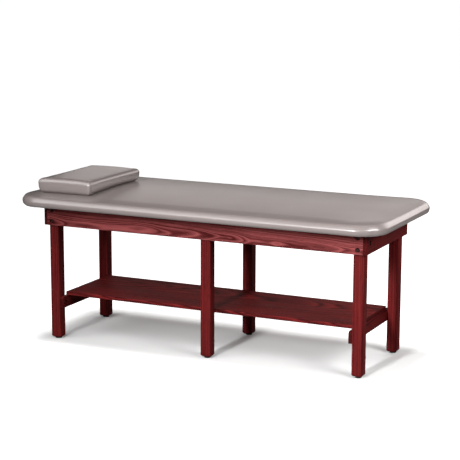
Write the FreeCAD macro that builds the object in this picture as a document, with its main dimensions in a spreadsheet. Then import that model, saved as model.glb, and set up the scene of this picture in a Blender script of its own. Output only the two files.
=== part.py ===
# Treatment table: six-leg hardwood frame with a full shelf, an upholstered top and a loose pillow.
# Frame of reference: millimetres, +X to the foot end, -Y to the front, +Z up.
# The origin lies on the floor under the middle of the table.
import FreeCAD, Part
import math
import os
import Sketcher

document = FreeCAD.newDocument("TreatmentTable")
sizes = document.addObject("Spreadsheet::Sheet", "Sizes")

drivingSizes = {
    # upholstered top
    "topLength": 1981.0, "topWidth": 864.0, "tableHeight": 787.0, "topCornerRadius": 150.0,
    "padThickness": 68.0, "deckThickness": 18.0, "coverThickness": 1.5, "coverMargin": 38.0,
    "topCrown": 4.0, "topEdgeRoll": 76.0, "lowerEdgeRoll": 22.0, "lowerEdgeInset": 12.0,
    "crownCornerRadius": 40.0, "upholsteryClearance": 0.4,
    "softSeatGap": 0.3,
    # loose pillow
    "pillowLength": 304.0, "pillowWidth": 520.0, "pillowThickness": 68.0,
    "pillowCornerRadius": 24.0, "pillowDrawIn": 4.0, "pillowCrown": 6.0, "pillowEdgeRoll": 16.0,
    "pillowLowerInset": 9.0, "pillowBulgeHeight": 16.0, "pillowCoverThickness": 1.2,
    "pillowHeadGap": 102.0, "pillowFrontShift": 73.0, "pillowClearance": 0.3,
    "pillowCrownCornerRadius": 12.0,
    # bolted apron frame
    "endOverhang": 108.5, "sideOverhang": 138.0, "railThickness": 19.0, "apronHeight": 114.0,
    "railEdgeRadius": 3.0, "endRailEdgeRadius": 6.0,
    # legs and feet
    "legSection": 55.0, "legEdgeRadius": 7.0, "legFootChamfer": 6.5, "middleLegShift": 33.0,
    "footHeight": 8.0, "footTopRadius": 19.0, "footFloorRadius": 16.5,
    "footRecessRadius": 6.0, "footRecessDepth": 4.0,
    # shelf and the two rails that carry it
    "shelfTopHeight": 245.0, "shelfThickness": 19.0, "shelfEndInset": 5.0, "shelfLegGap": 1.0,
    "shelfEdgeRadius": 2.5, "shelfRailHeight": 60.0, "shelfRailThickness": 19.0,
    "shelfRailSetback": 6.0, "shelfRailCornerRadius": 14.0, "shelfRailEdgeRadius": 3.0,
    # middle brace and the battens that hold the deck
    "braceHeight": 70.0, "braceThickness": 19.0,
    "battenSection": 25.0, "battenLegGap": 12.0, "battenEdgeRadius": 1.5,
    # lag bolts, washers and their counterbores
    "boltShankRadius": 4.0, "boltHeadFlats": 12.7, "boltHeadHeight": 5.5, "boltBite": 40.0,
    "shelfBoltBite": 32.0, "boltClearance": 0.15, "counterboreRadius": 12.0,
    "counterboreDepth": 9.0, "washerRadius": 10.5, "washerThickness": 1.6,
    "apronBoltRise": 22.0, "apronBoltSpacing": 58.0, "endBoltRise": 52.0,
    # wood screws
    "screwShankRadius": 2.2, "screwHeadRadius": 4.4, "screwHeadHeight": 2.6,
    "screwClearance": 0.1, "screwTipLength": 3.0, "screwBite": 12.0, "screwEndGap": 1.0,
    "screwBoreRadius": 6.0, "footScrewBite": 24.0, "legScrewBore": 20.0, "braceScrewBite": 18.0,
    "braceScrewInset": 14.0, "shelfScrewBore": 36.0, "shelfScrewSpacing": 150.0,
    # steel angles under the middle of the shelf
    "angleFlange": 30.0, "angleThickness": 2.5, "angleWidth": 44.0, "angleHoleSpacing": 24.0,
    "angleBendRadius": 3.0, "angleScrewDrop": 18.0,
}

for rowNumber, (alias, number) in enumerate(drivingSizes.items(), start=1):
    cell = "B%d" % rowNumber
    sizes.set("A%d" % rowNumber, alias)
    sizes.set(cell, str(number))
    sizes.setAlias(cell, alias)
document.recompute()

# outline steps of a cushion's edge, in degrees: from the floor to the side, and over to the top
lowerRollAngles = (0.0, 45.0, 90.0)
edgeRollAngles = (25.0, 48.0, 70.0, 90.0)
# most that the corners of a crown line may take of its narrow half
crownCornerShare = 0.9
# radius of a screw's point as a share of its shank's
pointRadiusShare = 0.25
# how far the crown lines lie from the edge roll towards the middle, and how high they stand
topCrownInsetShares = (0.34, 0.80)
topCrownRiseShares = (0.55, 1.0)
pillowCrownInsetShares = (0.40, 0.82)
pillowCrownRiseShares = (0.60, 1.0)
# places of the batten screws along a batten
battenScrewShares = (0.10, 0.50, 0.90)
deckScrewShares = (0.22, 0.62, 0.80)


def size(alias):
    """The number that the sheet holds for one alias."""
    return float(getattr(sizes, alias))


def numberOf(expression):
    """The value of an expression over the sheet."""
    return float(sizes.evalExpression(expression))


def named(alias):
    return "Sizes." + alias


# Expressions that several pieces share.
deckUnderside = "(Sizes.tableHeight - Sizes.padThickness)"
apronUnderside = "(%s - Sizes.apronHeight)" % deckUnderside
legHeight = "(%s - Sizes.footHeight)" % deckUnderside
frameLength = "(Sizes.topLength - 2 * Sizes.endOverhang)"
frameWidth = "(Sizes.topWidth - 2 * Sizes.sideOverhang)"
legCentreX = "(%s / 2 - Sizes.railThickness - Sizes.legSection / 2)" % frameLength
legCentreY = "(%s / 2 - Sizes.railThickness - Sizes.legSection / 2)" % frameWidth
legInnerX = "(%s - Sizes.legSection / 2)" % legCentreX
legInnerY = "(%s - Sizes.legSection / 2)" % legCentreY
apronInnerY = "(%s / 2 - Sizes.railThickness)" % frameWidth
lowApronBolt = "(%s + Sizes.apronBoltRise)" % apronUnderside
highApronBolt = "(%s + Sizes.apronBoltSpacing)" % lowApronBolt
endRailBolt = "(%s + Sizes.endBoltRise)" % apronUnderside
shelfUnderside = "(Sizes.shelfTopHeight - Sizes.shelfThickness)"
shelfRailFoot = "(%s - Sizes.shelfRailHeight)" % shelfUnderside
shelfRailCentreX = "(%s - Sizes.shelfRailThickness / 2)" % legInnerX
shelfBoltHeight = "(%s + Sizes.shelfRailHeight / 2)" % shelfRailFoot
boltHole = "(Sizes.boltShankRadius + Sizes.boltClearance)"
screwHole = "(Sizes.screwShankRadius + Sizes.screwClearance)"
braceFoot = "(%s - Sizes.braceHeight)" % deckUnderside
braceFaceX = "(Sizes.middleLegShift + Sizes.legSection / 2 + Sizes.braceThickness)"
braceCentreX = "(%s - Sizes.braceThickness / 2)" % braceFaceX
lowBraceScrew = "(%s + Sizes.braceScrewInset)" % braceFoot
highBraceScrew = "(%s - Sizes.braceScrewInset)" % deckUnderside
battenStart = "(%s + Sizes.braceThickness / 2 + Sizes.battenLegGap)" % braceCentreX
battenLength = "(%s - Sizes.battenLegGap - %s)" % (legInnerX, battenStart)
battenCentreX = "(%s + %s / 2)" % (battenStart, battenLength)
battenCentreY = "(%s - Sizes.battenSection / 2)" % apronInnerY
battenFoot = "(%s - Sizes.battenSection)" % deckUnderside
battenScrewHeight = "(%s + Sizes.battenSection / 2)" % battenFoot
angleScrewHeight = "(%s - Sizes.angleScrewDrop)" % shelfUnderside
angleScrewY = "(%s - Sizes.angleScrewDrop)" % legInnerY
deckInset = "(Sizes.lowerEdgeInset + Sizes.coverThickness + Sizes.upholsteryClearance)"


def shareAlongBatten(share):
    return "(%s + %s * %s)" % (battenStart, share, battenLength)


def signed(sign, expression):
    return "(%d * %s)" % (sign, expression)


# Sketches, pads and drilled holes.
def originPlane(body, role):
    for feature in body.Origin.OriginFeatures:
        if feature.Role == role:
            return feature
    raise ValueError("no origin plane " + role)


def newBody(label, x, y, z):
    """A body whose own axes run along the table's axes, placed by three expressions."""
    body = document.addObject("PartDesign::Body", label)
    body.Label = label
    for axis, expression in (("x", x), ("y", y), ("z", z)):
        body.setExpression("Placement.Base." + axis, expression)
    return body


def newSketch(body, name, role, offset="0"):
    sketch = body.newObject("Sketcher::SketchObject", name)
    sketch.AttachmentSupport = [(originPlane(body, role), "")]
    sketch.MapMode = "FlatFace"
    if offset != "0":
        sketch.setExpression("AttachmentOffset.Base.z", offset)
    return sketch


def bindConstraint(sketch, constraint, name, expression):
    index = sketch.addConstraint(constraint)
    sketch.renameConstraint(index, name)
    sketch.setExpression("Constraints." + name, expression)


def closedOutline(sketch, corners):
    """Straight lines through corners given as pairs of expressions, each corner bound."""
    points = [FreeCAD.Vector(numberOf(x), numberOf(y), 0) for x, y in corners]
    count = len(points)
    for index in range(count):
        line = Part.LineSegment(points[index], points[(index + 1) % count])
        sketch.addGeometry(line, False)
    for index in range(count):
        follower = (index + 1) % count
        sketch.addConstraint(Sketcher.Constraint("Coincident", index, 2, follower, 1))
    for index, (x, y) in enumerate(corners):
        for kind, expression in (("DistanceX", x), ("DistanceY", y)):
            datum = numberOf(expression)
            if abs(datum) < 1e-9:
                onAxis = -2 if kind == "DistanceX" else -1
                sketch.addConstraint(Sketcher.Constraint("PointOnObject", index, 1, onAxis))
                continue
            constraint = Sketcher.Constraint(kind, -1, 1, index, 1, datum)
            bindConstraint(sketch, constraint, "%s%d" % (kind, index), expression)


def centredRectangle(sketch, width, depth):
    halfWidth, halfDepth = "%s / 2" % width, "%s / 2" % depth
    corners = [("-" + halfWidth, "-" + halfDepth), (halfWidth, "-" + halfDepth),
               (halfWidth, halfDepth), ("-" + halfWidth, halfDepth)]
    closedOutline(sketch, corners)


def addPad(body, sketch, name, length):
    pad = body.newObject("PartDesign::Pad", name)
    pad.Profile = sketch
    pad.setExpression("Length", length)
    sketch.Visibility = False
    document.recompute()
    return pad


def edgesAlong(feature, axis, keep=None):
    """Names of the straight edges of a feature along one axis, 0 for X, 1 for Y and 2 for Z."""
    names = []
    for number, edge in enumerate(feature.Shape.Edges, start=1):
        if not isinstance(edge.Curve, Part.Line):
            continue
        direction = edge.Vertexes[1].Point - edge.Vertexes[0].Point
        if abs(abs(direction[axis]) - direction.Length) > 1e-6:
            continue
        if keep is None or keep(edge.CenterOfMass):
            names.append("Edge%d" % number)
    return names


def roundEdges(body, name, names, radius):
    base = body.Tip
    fillet = body.newObject("PartDesign::Fillet", name)
    fillet.Base = (base, names)
    fillet.setExpression("Radius", radius)
    document.recompute()
    return fillet


def bevelEdges(body, name, names, width):
    base = body.Tip
    chamfer = body.newObject("PartDesign::Chamfer", name)
    chamfer.Base = (base, names)
    chamfer.setExpression("Size", width)
    document.recompute()
    return chamfer


# For each side of a board: the sketch plane, the sign of its offset, and whether a cut is reversed.
drillSides = {"+X": ("YZ_Plane", 1, False), "-X": ("YZ_Plane", -1, True),
              "-Y": ("XZ_Plane", 1, False), "+Y": ("XZ_Plane", -1, True),
              "-Z": ("XY_Plane", 1, True)}


def drill(body, name, side, sideOffset, places, radius, depth):
    """Round holes into one side. Places are pairs of expressions in the body's own frame."""
    role, sign, reversedCut = drillSides[side]
    before = body.Shape.Volume
    sketch = newSketch(body, name + "Sketch", role, "%d * %s" % (sign, sideOffset))
    for index, (across, up) in enumerate(places):
        centre = FreeCAD.Vector(numberOf(across), numberOf(up), 0)
        circle = Part.Circle(centre, FreeCAD.Vector(0, 0, 1), numberOf(radius))
        sketch.addGeometry(circle, False)
        constraint = Sketcher.Constraint("Radius", index, numberOf(radius))
        bindConstraint(sketch, constraint, "radius%d" % index, radius)
        for kind, expression in (("DistanceX", across), ("DistanceY", up)):
            datum = numberOf(expression)
            if abs(datum) < 1e-9:
                onAxis = -2 if kind == "DistanceX" else -1
                sketch.addConstraint(Sketcher.Constraint("PointOnObject", index, 3, onAxis))
                continue
            constraint = Sketcher.Constraint(kind, -1, 1, index, 3, datum)
            bindConstraint(sketch, constraint, "%s%d" % (kind, index), expression)
    pocket = body.newObject("PartDesign::Pocket", name)
    pocket.Profile = sketch
    pocket.Reversed = reversedCut
    pocket.setExpression("Length", depth)
    sketch.Visibility = False
    document.recompute()
    if not body.Shape.Volume < before:
        raise ValueError("%s of %s cuts nothing" % (name, body.Label))
    return pocket


def board(label, x, y, z, length, depth, height):
    """A board with its origin at the middle of its underside."""
    body = newBody(label, x, y, z)
    outline = newSketch(body, label + "Outline", "XY_Plane")
    centredRectangle(outline, length, depth)
    addPad(body, outline, label + "Pad", height)
    return body


# Aprons and end rails.
def makeApron(label, sign):
    """A long apron; sign -1 for the front one. The end rails cap its ends."""
    outer = signed(sign, "(%s - Sizes.railThickness) / 2" % frameWidth)
    apronLength = "(%s - 2 * Sizes.railThickness)" % frameLength
    body = board(label, "0", outer, apronUnderside, apronLength,
                 named("railThickness"), named("apronHeight"))
    lower = edgesAlong(body.Tip, 0, lambda middle: middle.z < size("railEdgeRadius"))
    roundEdges(body, label + "Rounding", lower, named("railEdgeRadius"))
    outerSide, innerSide = ("-Y", "+Y") if sign < 0 else ("+Y", "-Y")
    halfThickness = "(Sizes.railThickness / 2)"
    boltPlaces = [(signed(end, legCentreX), "%s - %s" % (height, apronUnderside))
                  for end in (-1, 1) for height in (lowApronBolt, highApronBolt)]
    drill(body, label + "Counterbores", outerSide, halfThickness, boltPlaces,
          named("counterboreRadius"), named("counterboreDepth"))
    drill(body, label + "BoltHoles", outerSide, halfThickness, boltPlaces,
          boltHole, named("railThickness"))
    screwDepth = "(Sizes.screwBite + Sizes.screwEndGap)"
    battenPlaces = [(signed(end, shareAlongBatten(share)),
                     "%s - %s" % (battenScrewHeight, apronUnderside))
                    for end in (-1, 1) for share in battenScrewShares]
    legPlaces = [(named("middleLegShift"), "%s - %s" % (height, apronUnderside))
                 for height in (lowApronBolt, highApronBolt)]
    drill(body, label + "ScrewHoles", innerSide, halfThickness, battenPlaces + legPlaces,
          screwHole, screwDepth)


def makeEndRail(label, sign):
    """A short rail that covers the end grain of both aprons; sign -1 at the head end."""
    centre = signed(sign, "(%s - Sizes.railThickness) / 2" % frameLength)
    body = board(label, centre, "0", apronUnderside, named("railThickness"),
                 frameWidth, named("apronHeight"))
    outside = edgesAlong(body.Tip, 2, lambda middle: middle.x * sign > 0)
    roundEdges(body, label + "EndRounding", outside, named("endRailEdgeRadius"))
    lower = edgesAlong(body.Tip, 1, lambda middle: middle.z < size("railEdgeRadius"))
    roundEdges(body, label + "Rounding", lower, named("railEdgeRadius"))
    side = "-X" if sign < 0 else "+X"
    places = [(signed(front, legCentreY), named("endBoltRise")) for front in (-1, 1)]
    halfThickness = "(Sizes.railThickness / 2)"
    drill(body, label + "Counterbores", side, halfThickness, places,
          named("counterboreRadius"), named("counterboreDepth"))
    drill(body, label + "BoltHoles", side, halfThickness, places,
          boltHole, named("railThickness"))


# Legs.
def makeLegBlank(label, x, y):
    body = board(label, x, y, named("footHeight"), named("legSection"),
                 named("legSection"), legHeight)
    roundEdges(body, label + "Rounding", edgesAlong(body.Tip, 2), named("legEdgeRadius"))
    bottom = ["Edge%d" % number for number, edge in enumerate(body.Tip.Shape.Edges, start=1)
              if edge.BoundBox.ZMax < 1e-6]
    bevelEdges(body, label + "Bevel", bottom, named("legFootChamfer"))
    drill(body, label + "FootHole", "-Z", "0", [("0", "0")], screwHole,
          "(Sizes.footScrewBite + Sizes.screwEndGap)")
    return body


def aboveFoot(height):
    """A height above the floor as a height above the end of a leg."""
    return "%s - Sizes.footHeight" % height


def makeCornerLeg(label, end, side):
    """A corner leg; end is -1 at the head, side is -1 at the front."""
    body = makeLegBlank(label, signed(end, legCentreX), signed(side, legCentreY))
    half = "(Sizes.legSection / 2)"
    outerX, innerX = ("-X", "+X") if end < 0 else ("+X", "-X")
    outerY = "-Y" if side < 0 else "+Y"
    legBolt = "(Sizes.boltBite + Sizes.screwEndGap)"
    drill(body, label + "ApronHoles", outerY, half,
          [("0", aboveFoot(lowApronBolt)), ("0", aboveFoot(highApronBolt))], boltHole, legBolt)
    drill(body, label + "EndHole", outerX, half, [("0", aboveFoot(endRailBolt))],
          boltHole, legBolt)
    drill(body, label + "ShelfHole", innerX, half, [("0", aboveFoot(shelfBoltHeight))],
          boltHole, "(Sizes.shelfBoltBite + Sizes.screwEndGap)")


def makeMiddleLeg(label, side):
    """A middle leg, set towards the foot end and screwed to its apron from the inside."""
    body = makeLegBlank(label, named("middleLegShift"), signed(side, legCentreY))
    half = "(Sizes.legSection / 2)"
    innerY = "+Y" if side < 0 else "-Y"
    screwHeights = [("0", aboveFoot(lowApronBolt)), ("0", aboveFoot(highApronBolt))]
    drill(body, label + "ScrewBores", innerY, half, screwHeights,
          named("screwBoreRadius"), named("legScrewBore"))
    drill(body, label + "ScrewHoles", innerY, half, screwHeights, screwHole,
          named("legSection"))
    drill(body, label + "BraceHoles", "+X", half,
          [("0", aboveFoot(lowBraceScrew)), ("0", aboveFoot(highBraceScrew))],
          screwHole, "(Sizes.braceScrewBite + Sizes.screwEndGap)")
    anglePlaces = [(signed(way, "Sizes.angleHoleSpacing / 2"), aboveFoot(angleScrewHeight))
                   for way in (-1, 1)]
    drill(body, label + "AngleHoles", innerY, half, anglePlaces, screwHole,
          "(Sizes.screwBite + Sizes.screwEndGap)")


def makeFoot(label, x, y):
    """A tapered rubber foot with a recess for its screw, turned about its own axis."""
    body = newBody(label, x, y, "0")
    profile = newSketch(body, label + "Profile", "XZ_Plane")
    hole = "(Sizes.screwShankRadius + Sizes.screwClearance)"
    closedOutline(profile, [(named("footRecessRadius"), "0"), (named("footFloorRadius"), "0"),
                            (named("footTopRadius"), named("footHeight")),
                            (hole, named("footHeight")), (hole, named("footRecessDepth")),
                            (named("footRecessRadius"), named("footRecessDepth"))])
    revolution = body.newObject("PartDesign::Revolution", label + "Turned")
    revolution.Profile = profile
    revolution.ReferenceAxis = (profile, ["V_Axis"])
    profile.Visibility = False
    document.recompute()


# Shelf, its rails, the middle brace and the deck battens.
def makeShelf(label):
    shelfLength = "(2 * (%s - Sizes.shelfEndInset))" % legInnerX
    shelfDepth = "(2 * (%s - Sizes.shelfLegGap))" % legInnerY
    body = board(label, "0", "0", shelfUnderside, shelfLength, shelfDepth,
                 named("shelfThickness"))
    edges = edgesAlong(body.Tip, 0) + edgesAlong(body.Tip, 1)
    roundEdges(body, label + "Rounding", edges, named("shelfEdgeRadius"))
    railPlaces = [(signed(end, shelfRailCentreX), "%d * Sizes.shelfScrewSpacing" % step)
                  for end in (-1, 1) for step in (-1, 0, 1)]
    anglePlaces = [("Sizes.middleLegShift + %d * Sizes.angleHoleSpacing / 2" % way,
                    signed(side, angleScrewY)) for way in (-1, 1) for side in (-1, 1)]
    drill(body, label + "ScrewHoles", "-Z", "0", railPlaces + anglePlaces, screwHole,
          "(Sizes.screwBite + Sizes.screwEndGap)")


def makeShelfRail(label, end):
    """A rail on the inner faces of two corner legs, with rounded ends at its top."""
    railLength = "(2 * (%s - Sizes.shelfRailSetback))" % apronInnerY
    body = board(label, signed(end, shelfRailCentreX), "0", shelfRailFoot,
                 named("shelfRailThickness"), railLength, named("shelfRailHeight"))
    highEnds = edgesAlong(body.Tip, 0, lambda middle: middle.z > size("shelfRailCornerRadius"))
    roundEdges(body, label + "Ends", highEnds, named("shelfRailCornerRadius"))
    lower = edgesAlong(body.Tip, 1, lambda middle: middle.z < size("shelfRailEdgeRadius"))
    roundEdges(body, label + "Rounding", lower, named("shelfRailEdgeRadius"))
    innerSide = "+X" if end < 0 else "-X"
    half = "(Sizes.shelfRailThickness / 2)"
    places = [(signed(side, legCentreY), "Sizes.shelfRailHeight / 2") for side in (-1, 1)]
    drill(body, label + "Counterbores", innerSide, half, places,
          named("counterboreRadius"), named("counterboreDepth"))
    drill(body, label + "BoltHoles", innerSide, half, places, boltHole,
          named("shelfRailThickness"))
    screwPlaces = [("0", "%d * Sizes.shelfScrewSpacing" % step) for step in (-1, 0, 1)]
    drill(body, label + "ScrewBores", "-Z", "0", screwPlaces, named("screwBoreRadius"),
          named("shelfScrewBore"))
    drill(body, label + "ScrewHoles", "-Z", "0", screwPlaces, screwHole,
          named("shelfRailHeight"))


def makeBrace(label):
    """The cross brace under the deck, on the foot side of the two middle legs."""
    body = board(label, braceCentreX, "0", braceFoot, named("braceThickness"),
                 "(2 * %s)" % apronInnerY, named("braceHeight"))
    places = [(signed(side, legCentreY), "%s - %s" % (height, braceFoot))
              for side in (-1, 1) for height in (lowBraceScrew, highBraceScrew)]
    drill(body, label + "ScrewHoles", "+X", "(Sizes.braceThickness / 2)", places, screwHole,
          named("braceThickness"))


def makeBatten(label, end, side):
    """A batten along one bay of an apron, screwed to the apron and up into the deck."""
    body = board(label, signed(end, battenCentreX), signed(side, battenCentreY), battenFoot,
                 battenLength, named("battenSection"), named("battenSection"))
    innerY = "+Y" if side < 0 else "-Y"
    lowInner = edgesAlong(body.Tip, 0, lambda middle: middle.z < size("battenEdgeRadius")
                          and middle.y * side < 0)
    roundEdges(body, label + "Rounding", lowInner, named("battenEdgeRadius"))
    acrossPlaces = [(signed(end, "(%s - 0.5) * %s" % (share, battenLength)),
                     "Sizes.battenSection / 2") for share in battenScrewShares]
    drill(body, label + "SideHoles", innerY, "(Sizes.battenSection / 2)", acrossPlaces,
          screwHole, named("battenSection"))
    upPlaces = [(signed(end, "(%s - 0.5) * %s" % (share, battenLength)), "0")
                for share in deckScrewShares]
    drill(body, label + "DeckHoles", "-Z", "0", upPlaces, screwHole, named("battenSection"))


def makeDeck(label):
    """The plywood board under the foam."""
    body = newBody(label, "0", "0", deckUnderside)
    outline = newSketch(body, label + "Outline", "XY_Plane")
    centredRectangle(outline, "(Sizes.topLength - 2 * %s)" % deckInset,
                     "(Sizes.topWidth - 2 * %s)" % deckInset)
    addPad(body, outline, label + "Pad", named("deckThickness"))
    roundEdges(body, label + "Corners", edgesAlong(body.Tip, 2),
               "Sizes.topCornerRadius - %s" % deckInset)
    places = [(signed(end, shareAlongBatten(share)), signed(side, battenCentreY))
              for end in (-1, 1) for side in (-1, 1) for share in deckScrewShares]
    drill(body, label + "ScrewHoles", "-Z", "0", places, screwHole,
          "(Sizes.screwBite + Sizes.screwEndGap)")


def makeShelfAngle(label, side):
    """A bent steel angle that holds one long side of the shelf to a middle leg."""
    body = newBody(label, named("middleLegShift"), signed(side, legInnerY), shelfUnderside)
    profile = newSketch(body, label + "Profile", "YZ_Plane",
                        "-Sizes.angleWidth / 2")
    inward = -side
    reach = signed(inward, named("angleFlange"))
    wall = signed(inward, named("angleThickness"))
    closedOutline(profile, [("0", "0"), (reach, "0"), (reach, "-Sizes.angleThickness"),
                            (wall, "-Sizes.angleThickness"), (wall, "-Sizes.angleFlange"),
                            ("0", "-Sizes.angleFlange")])
    addPad(body, profile, label + "Bent", named("angleWidth"))
    bend = edgesAlong(body.Tip, 0, lambda middle: abs(middle.y) + abs(middle.z) < 1e-6)
    roundEdges(body, label + "Bend", bend, named("angleBendRadius"))
    halfSpacing = "Sizes.angleHoleSpacing / 2"
    innerY = "+Y" if side < 0 else "-Y"
    drill(body, label + "LegHoles", innerY, named("angleThickness"),
          [(signed(way, halfSpacing), "-Sizes.angleScrewDrop") for way in (-1, 1)],
          screwHole, named("angleThickness"))
    drill(body, label + "ShelfHoles", "-Z", "(-Sizes.angleThickness)",
          [(signed(way, halfSpacing), signed(inward, named("angleScrewDrop")))
           for way in (-1, 1)], screwHole, named("angleThickness"))


# Upholstery: closed forms lofted through rounded rectangles that stand one above the other.
def cushionOutline(length, width, radius, drawIn, height):
    """Four sides, each drawn in at its middle, joined by four corner arcs."""
    def point(x, y):
        return FreeCAD.Vector(x, y, height)
    halfLength, halfWidth = length / 2, width / 2
    straightX, straightY = halfLength - radius, halfWidth - radius
    diagonal = radius * math.sqrt(2) / 2
    edges = []
    for quarter in range(4):
        signX = 1 if quarter in (0, 3) else -1
        signY = 1 if quarter in (0, 1) else -1
        sideEnd = point(signX * halfLength, signY * straightY)
        topEnd = point(signX * straightX, signY * halfWidth)
        middle = point(signX * (straightX + diagonal), signY * (straightY + diagonal))
        start, end = (sideEnd, topEnd) if quarter in (0, 2) else (topEnd, sideEnd)
        edges.append(Part.Arc(start, middle, end).toShape())
        if quarter in (0, 2):
            nextPoint = point(-signX * straightX, signY * halfWidth)
            pulled = point(0, signY * (halfWidth - drawIn))
        else:
            nextPoint = point(signX * halfLength, -signY * straightY)
            pulled = point(signX * (halfLength - drawIn), 0)
        if drawIn > 0:
            edges.append(Part.Arc(end, pulled, nextPoint).toShape())
        else:
            edges.append(Part.LineSegment(end, nextPoint).toShape())
    return Part.Wire(edges)


def cushionLevels(form, offset, floor=None):
    """Inset, height and crown flag of each outline of a cushion whose outer face is moved in
    by offset. With a floor, the form starts at that height."""
    roll = form["edgeRoll"]
    widestHeight = form["widestHeight"]
    rollRise = form["thickness"] - form["crown"] - widestHeight
    lowerRise = widestHeight - form["floorHeight"]
    levels = []
    for angle in lowerRollAngles:
        turn = math.radians(angle)
        inset = form["lowerInset"] * (1 - math.sin(turn)) + offset
        rise = form["floorHeight"] + lowerRise * (1 - math.cos(turn)) + offset * math.cos(turn)
        levels.append((inset, rise, False))
    for angle in edgeRollAngles:
        turn = math.radians(angle)
        inset = roll * (1 - math.cos(turn)) + offset * math.cos(turn)
        rise = widestHeight + rollRise * math.sin(turn) - offset * math.sin(turn)
        levels.append((inset, rise, False))
    rollTop = widestHeight + rollRise - offset
    for insetShare, riseShare in zip(form["crownInsetShares"], form["crownRiseShares"]):
        inset = roll + insetShare * (form["width"] / 2 - roll)
        levels.append((inset, rollTop + riseShare * form["crown"], True))
    if floor is None:
        return levels
    above = [level for level in levels if level[1] > floor]
    below = [level for level in levels if level[1] <= floor][-1]
    way = (floor - below[1]) / (above[0][1] - below[1])
    return [(below[0] + way * (above[0][0] - below[0]), floor, False)] + above


def cushionForm(form, offset, floor=None):
    """A closed cushion: straight runs between its outlines, one above the other."""
    wires = []
    for inset, height, onCrown in cushionLevels(form, offset, floor):
        length, width = form["length"] - 2 * inset, form["width"] - 2 * inset
        radius = max(form["cornerRadius"] - inset, form["crownCornerRadius"])
        if onCrown:
            radius = min(radius, crownCornerShare * min(length, width) / 2)
        drawIn = 0.0 if onCrown else form["drawIn"]
        wires.append(cushionOutline(length, width, radius, drawIn, height))
    return Part.makeLoft(wires, True, True)


def hollowForm(outer, inner):
    """One solid with the outer form's faces outside and the inner form's faces inside."""
    walls = [outer.Shells[0], inner.Shells[0].reversed()]
    return Part.makeSolid(Part.makeCompound(walls))


topForm = {
    "length": size("topLength"), "width": size("topWidth"), "thickness": size("padThickness"),
    "crown": size("topCrown"), "edgeRoll": size("topEdgeRoll"),
    "widestHeight": size("lowerEdgeRoll"), "lowerInset": size("lowerEdgeInset"),
    "floorHeight": -size("coverThickness"), "cornerRadius": size("topCornerRadius"),
    "crownCornerRadius": size("crownCornerRadius"), "drawIn": 0.0,
    "crownInsetShares": topCrownInsetShares, "crownRiseShares": topCrownRiseShares,
}
pillowForm = {
    "length": size("pillowLength"), "width": size("pillowWidth"),
    "thickness": size("pillowThickness"), "crown": size("pillowCrown"),
    "edgeRoll": size("pillowEdgeRoll"), "widestHeight": size("pillowBulgeHeight"),
    "lowerInset": size("pillowLowerInset"), "floorHeight": 0.0,
    "cornerRadius": size("pillowCornerRadius"), "drawIn": size("pillowDrawIn"),
    "crownCornerRadius": size("pillowCrownCornerRadius"),
    "crownInsetShares": pillowCrownInsetShares, "crownRiseShares": pillowCrownRiseShares,
}


def addShape(label, shape, position):
    """A form that no body or primitive fits; its shape comes first, then its place."""
    feature = document.addObject("Part::Feature", label)
    feature.Label = label
    feature.Shape = shape
    feature.Placement = FreeCAD.Placement(position, FreeCAD.Rotation())
    return feature


def makeTopUpholstery():
    """The vinyl cover, open under the deck inside its stapled margin, and the foam in it."""
    cover, gap = size("coverThickness"), size("upholsteryClearance")
    place = FreeCAD.Vector(0, 0, numberOf(deckUnderside))
    closedCover = hollowForm(cushionForm(topForm, 0.0), cushionForm(topForm, cover))
    openingLength = size("topLength") - 2 * size("coverMargin")
    openingWidth = size("topWidth") - 2 * size("coverMargin")
    openingRadius = size("topCornerRadius") - size("coverMargin")
    reach = size("deckThickness")
    opening = cushionOutline(openingLength, openingWidth, openingRadius, 0.0, -reach)
    openingSolid = Part.Face(opening).extrude(FreeCAD.Vector(0, 0, 2 * reach))
    addShape("top_cover", closedCover.cut(openingSolid), place)
    foamFloor = size("deckThickness") + size("softSeatGap")
    addShape("top_foam", cushionForm(topForm, cover + gap, foamFloor), place)


def makePillow():
    """The loose pillow: a closed vinyl cover round a foam block."""
    cover, gap = size("pillowCoverThickness"), size("upholsteryClearance")
    x = -size("topLength") / 2 + size("pillowHeadGap") + size("pillowLength") / 2
    place = FreeCAD.Vector(x, -size("pillowFrontShift"),
                           size("tableHeight") + size("pillowClearance"))
    closedCover = hollowForm(cushionForm(pillowForm, 0.0), cushionForm(pillowForm, cover))
    addShape("pillow_cover", closedCover, place)
    addShape("pillow_foam", cushionForm(pillowForm, cover + gap), place)


# Fasteners: each kind is one node that holds its separate solids.
def placedAlong(shape, point, direction):
    """A copy with its +Z axis turned to direction and its origin at point."""
    turned = shape.copy()
    turned.Placement = FreeCAD.Placement(
        point, FreeCAD.Rotation(FreeCAD.Vector(0, 0, 1), direction))
    return turned


def boltShape(bite, grip):
    """A lag bolt: hexagonal head below its origin, shank and point above it."""
    cornerRadius = size("boltHeadFlats") / 2 / math.cos(math.radians(30))
    corners = [FreeCAD.Vector(cornerRadius * math.cos(math.radians(60 * step)),
                              cornerRadius * math.sin(math.radians(60 * step)),
                              -size("boltHeadHeight")) for step in range(6)]
    hexagon = Part.Face(Part.makePolygon(corners + corners[:1]))
    head = hexagon.extrude(FreeCAD.Vector(0, 0, size("boltHeadHeight")))
    tip = size("boltShankRadius")
    shank = Part.makeCylinder(size("boltShankRadius"), grip + bite - tip)
    point = Part.makeCone(size("boltShankRadius"), size("boltShankRadius") * pointRadiusShare, tip,
                          FreeCAD.Vector(0, 0, grip + bite - tip))
    return head.fuse([shank, point]).removeSplitter()


def washerShape():
    """A flat washer whose top face is at its origin."""
    disc = Part.makeCylinder(size("washerRadius"), size("washerThickness"))
    return disc.cut(Part.makeCylinder(numberOf(boltHole), size("washerThickness")))


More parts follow.
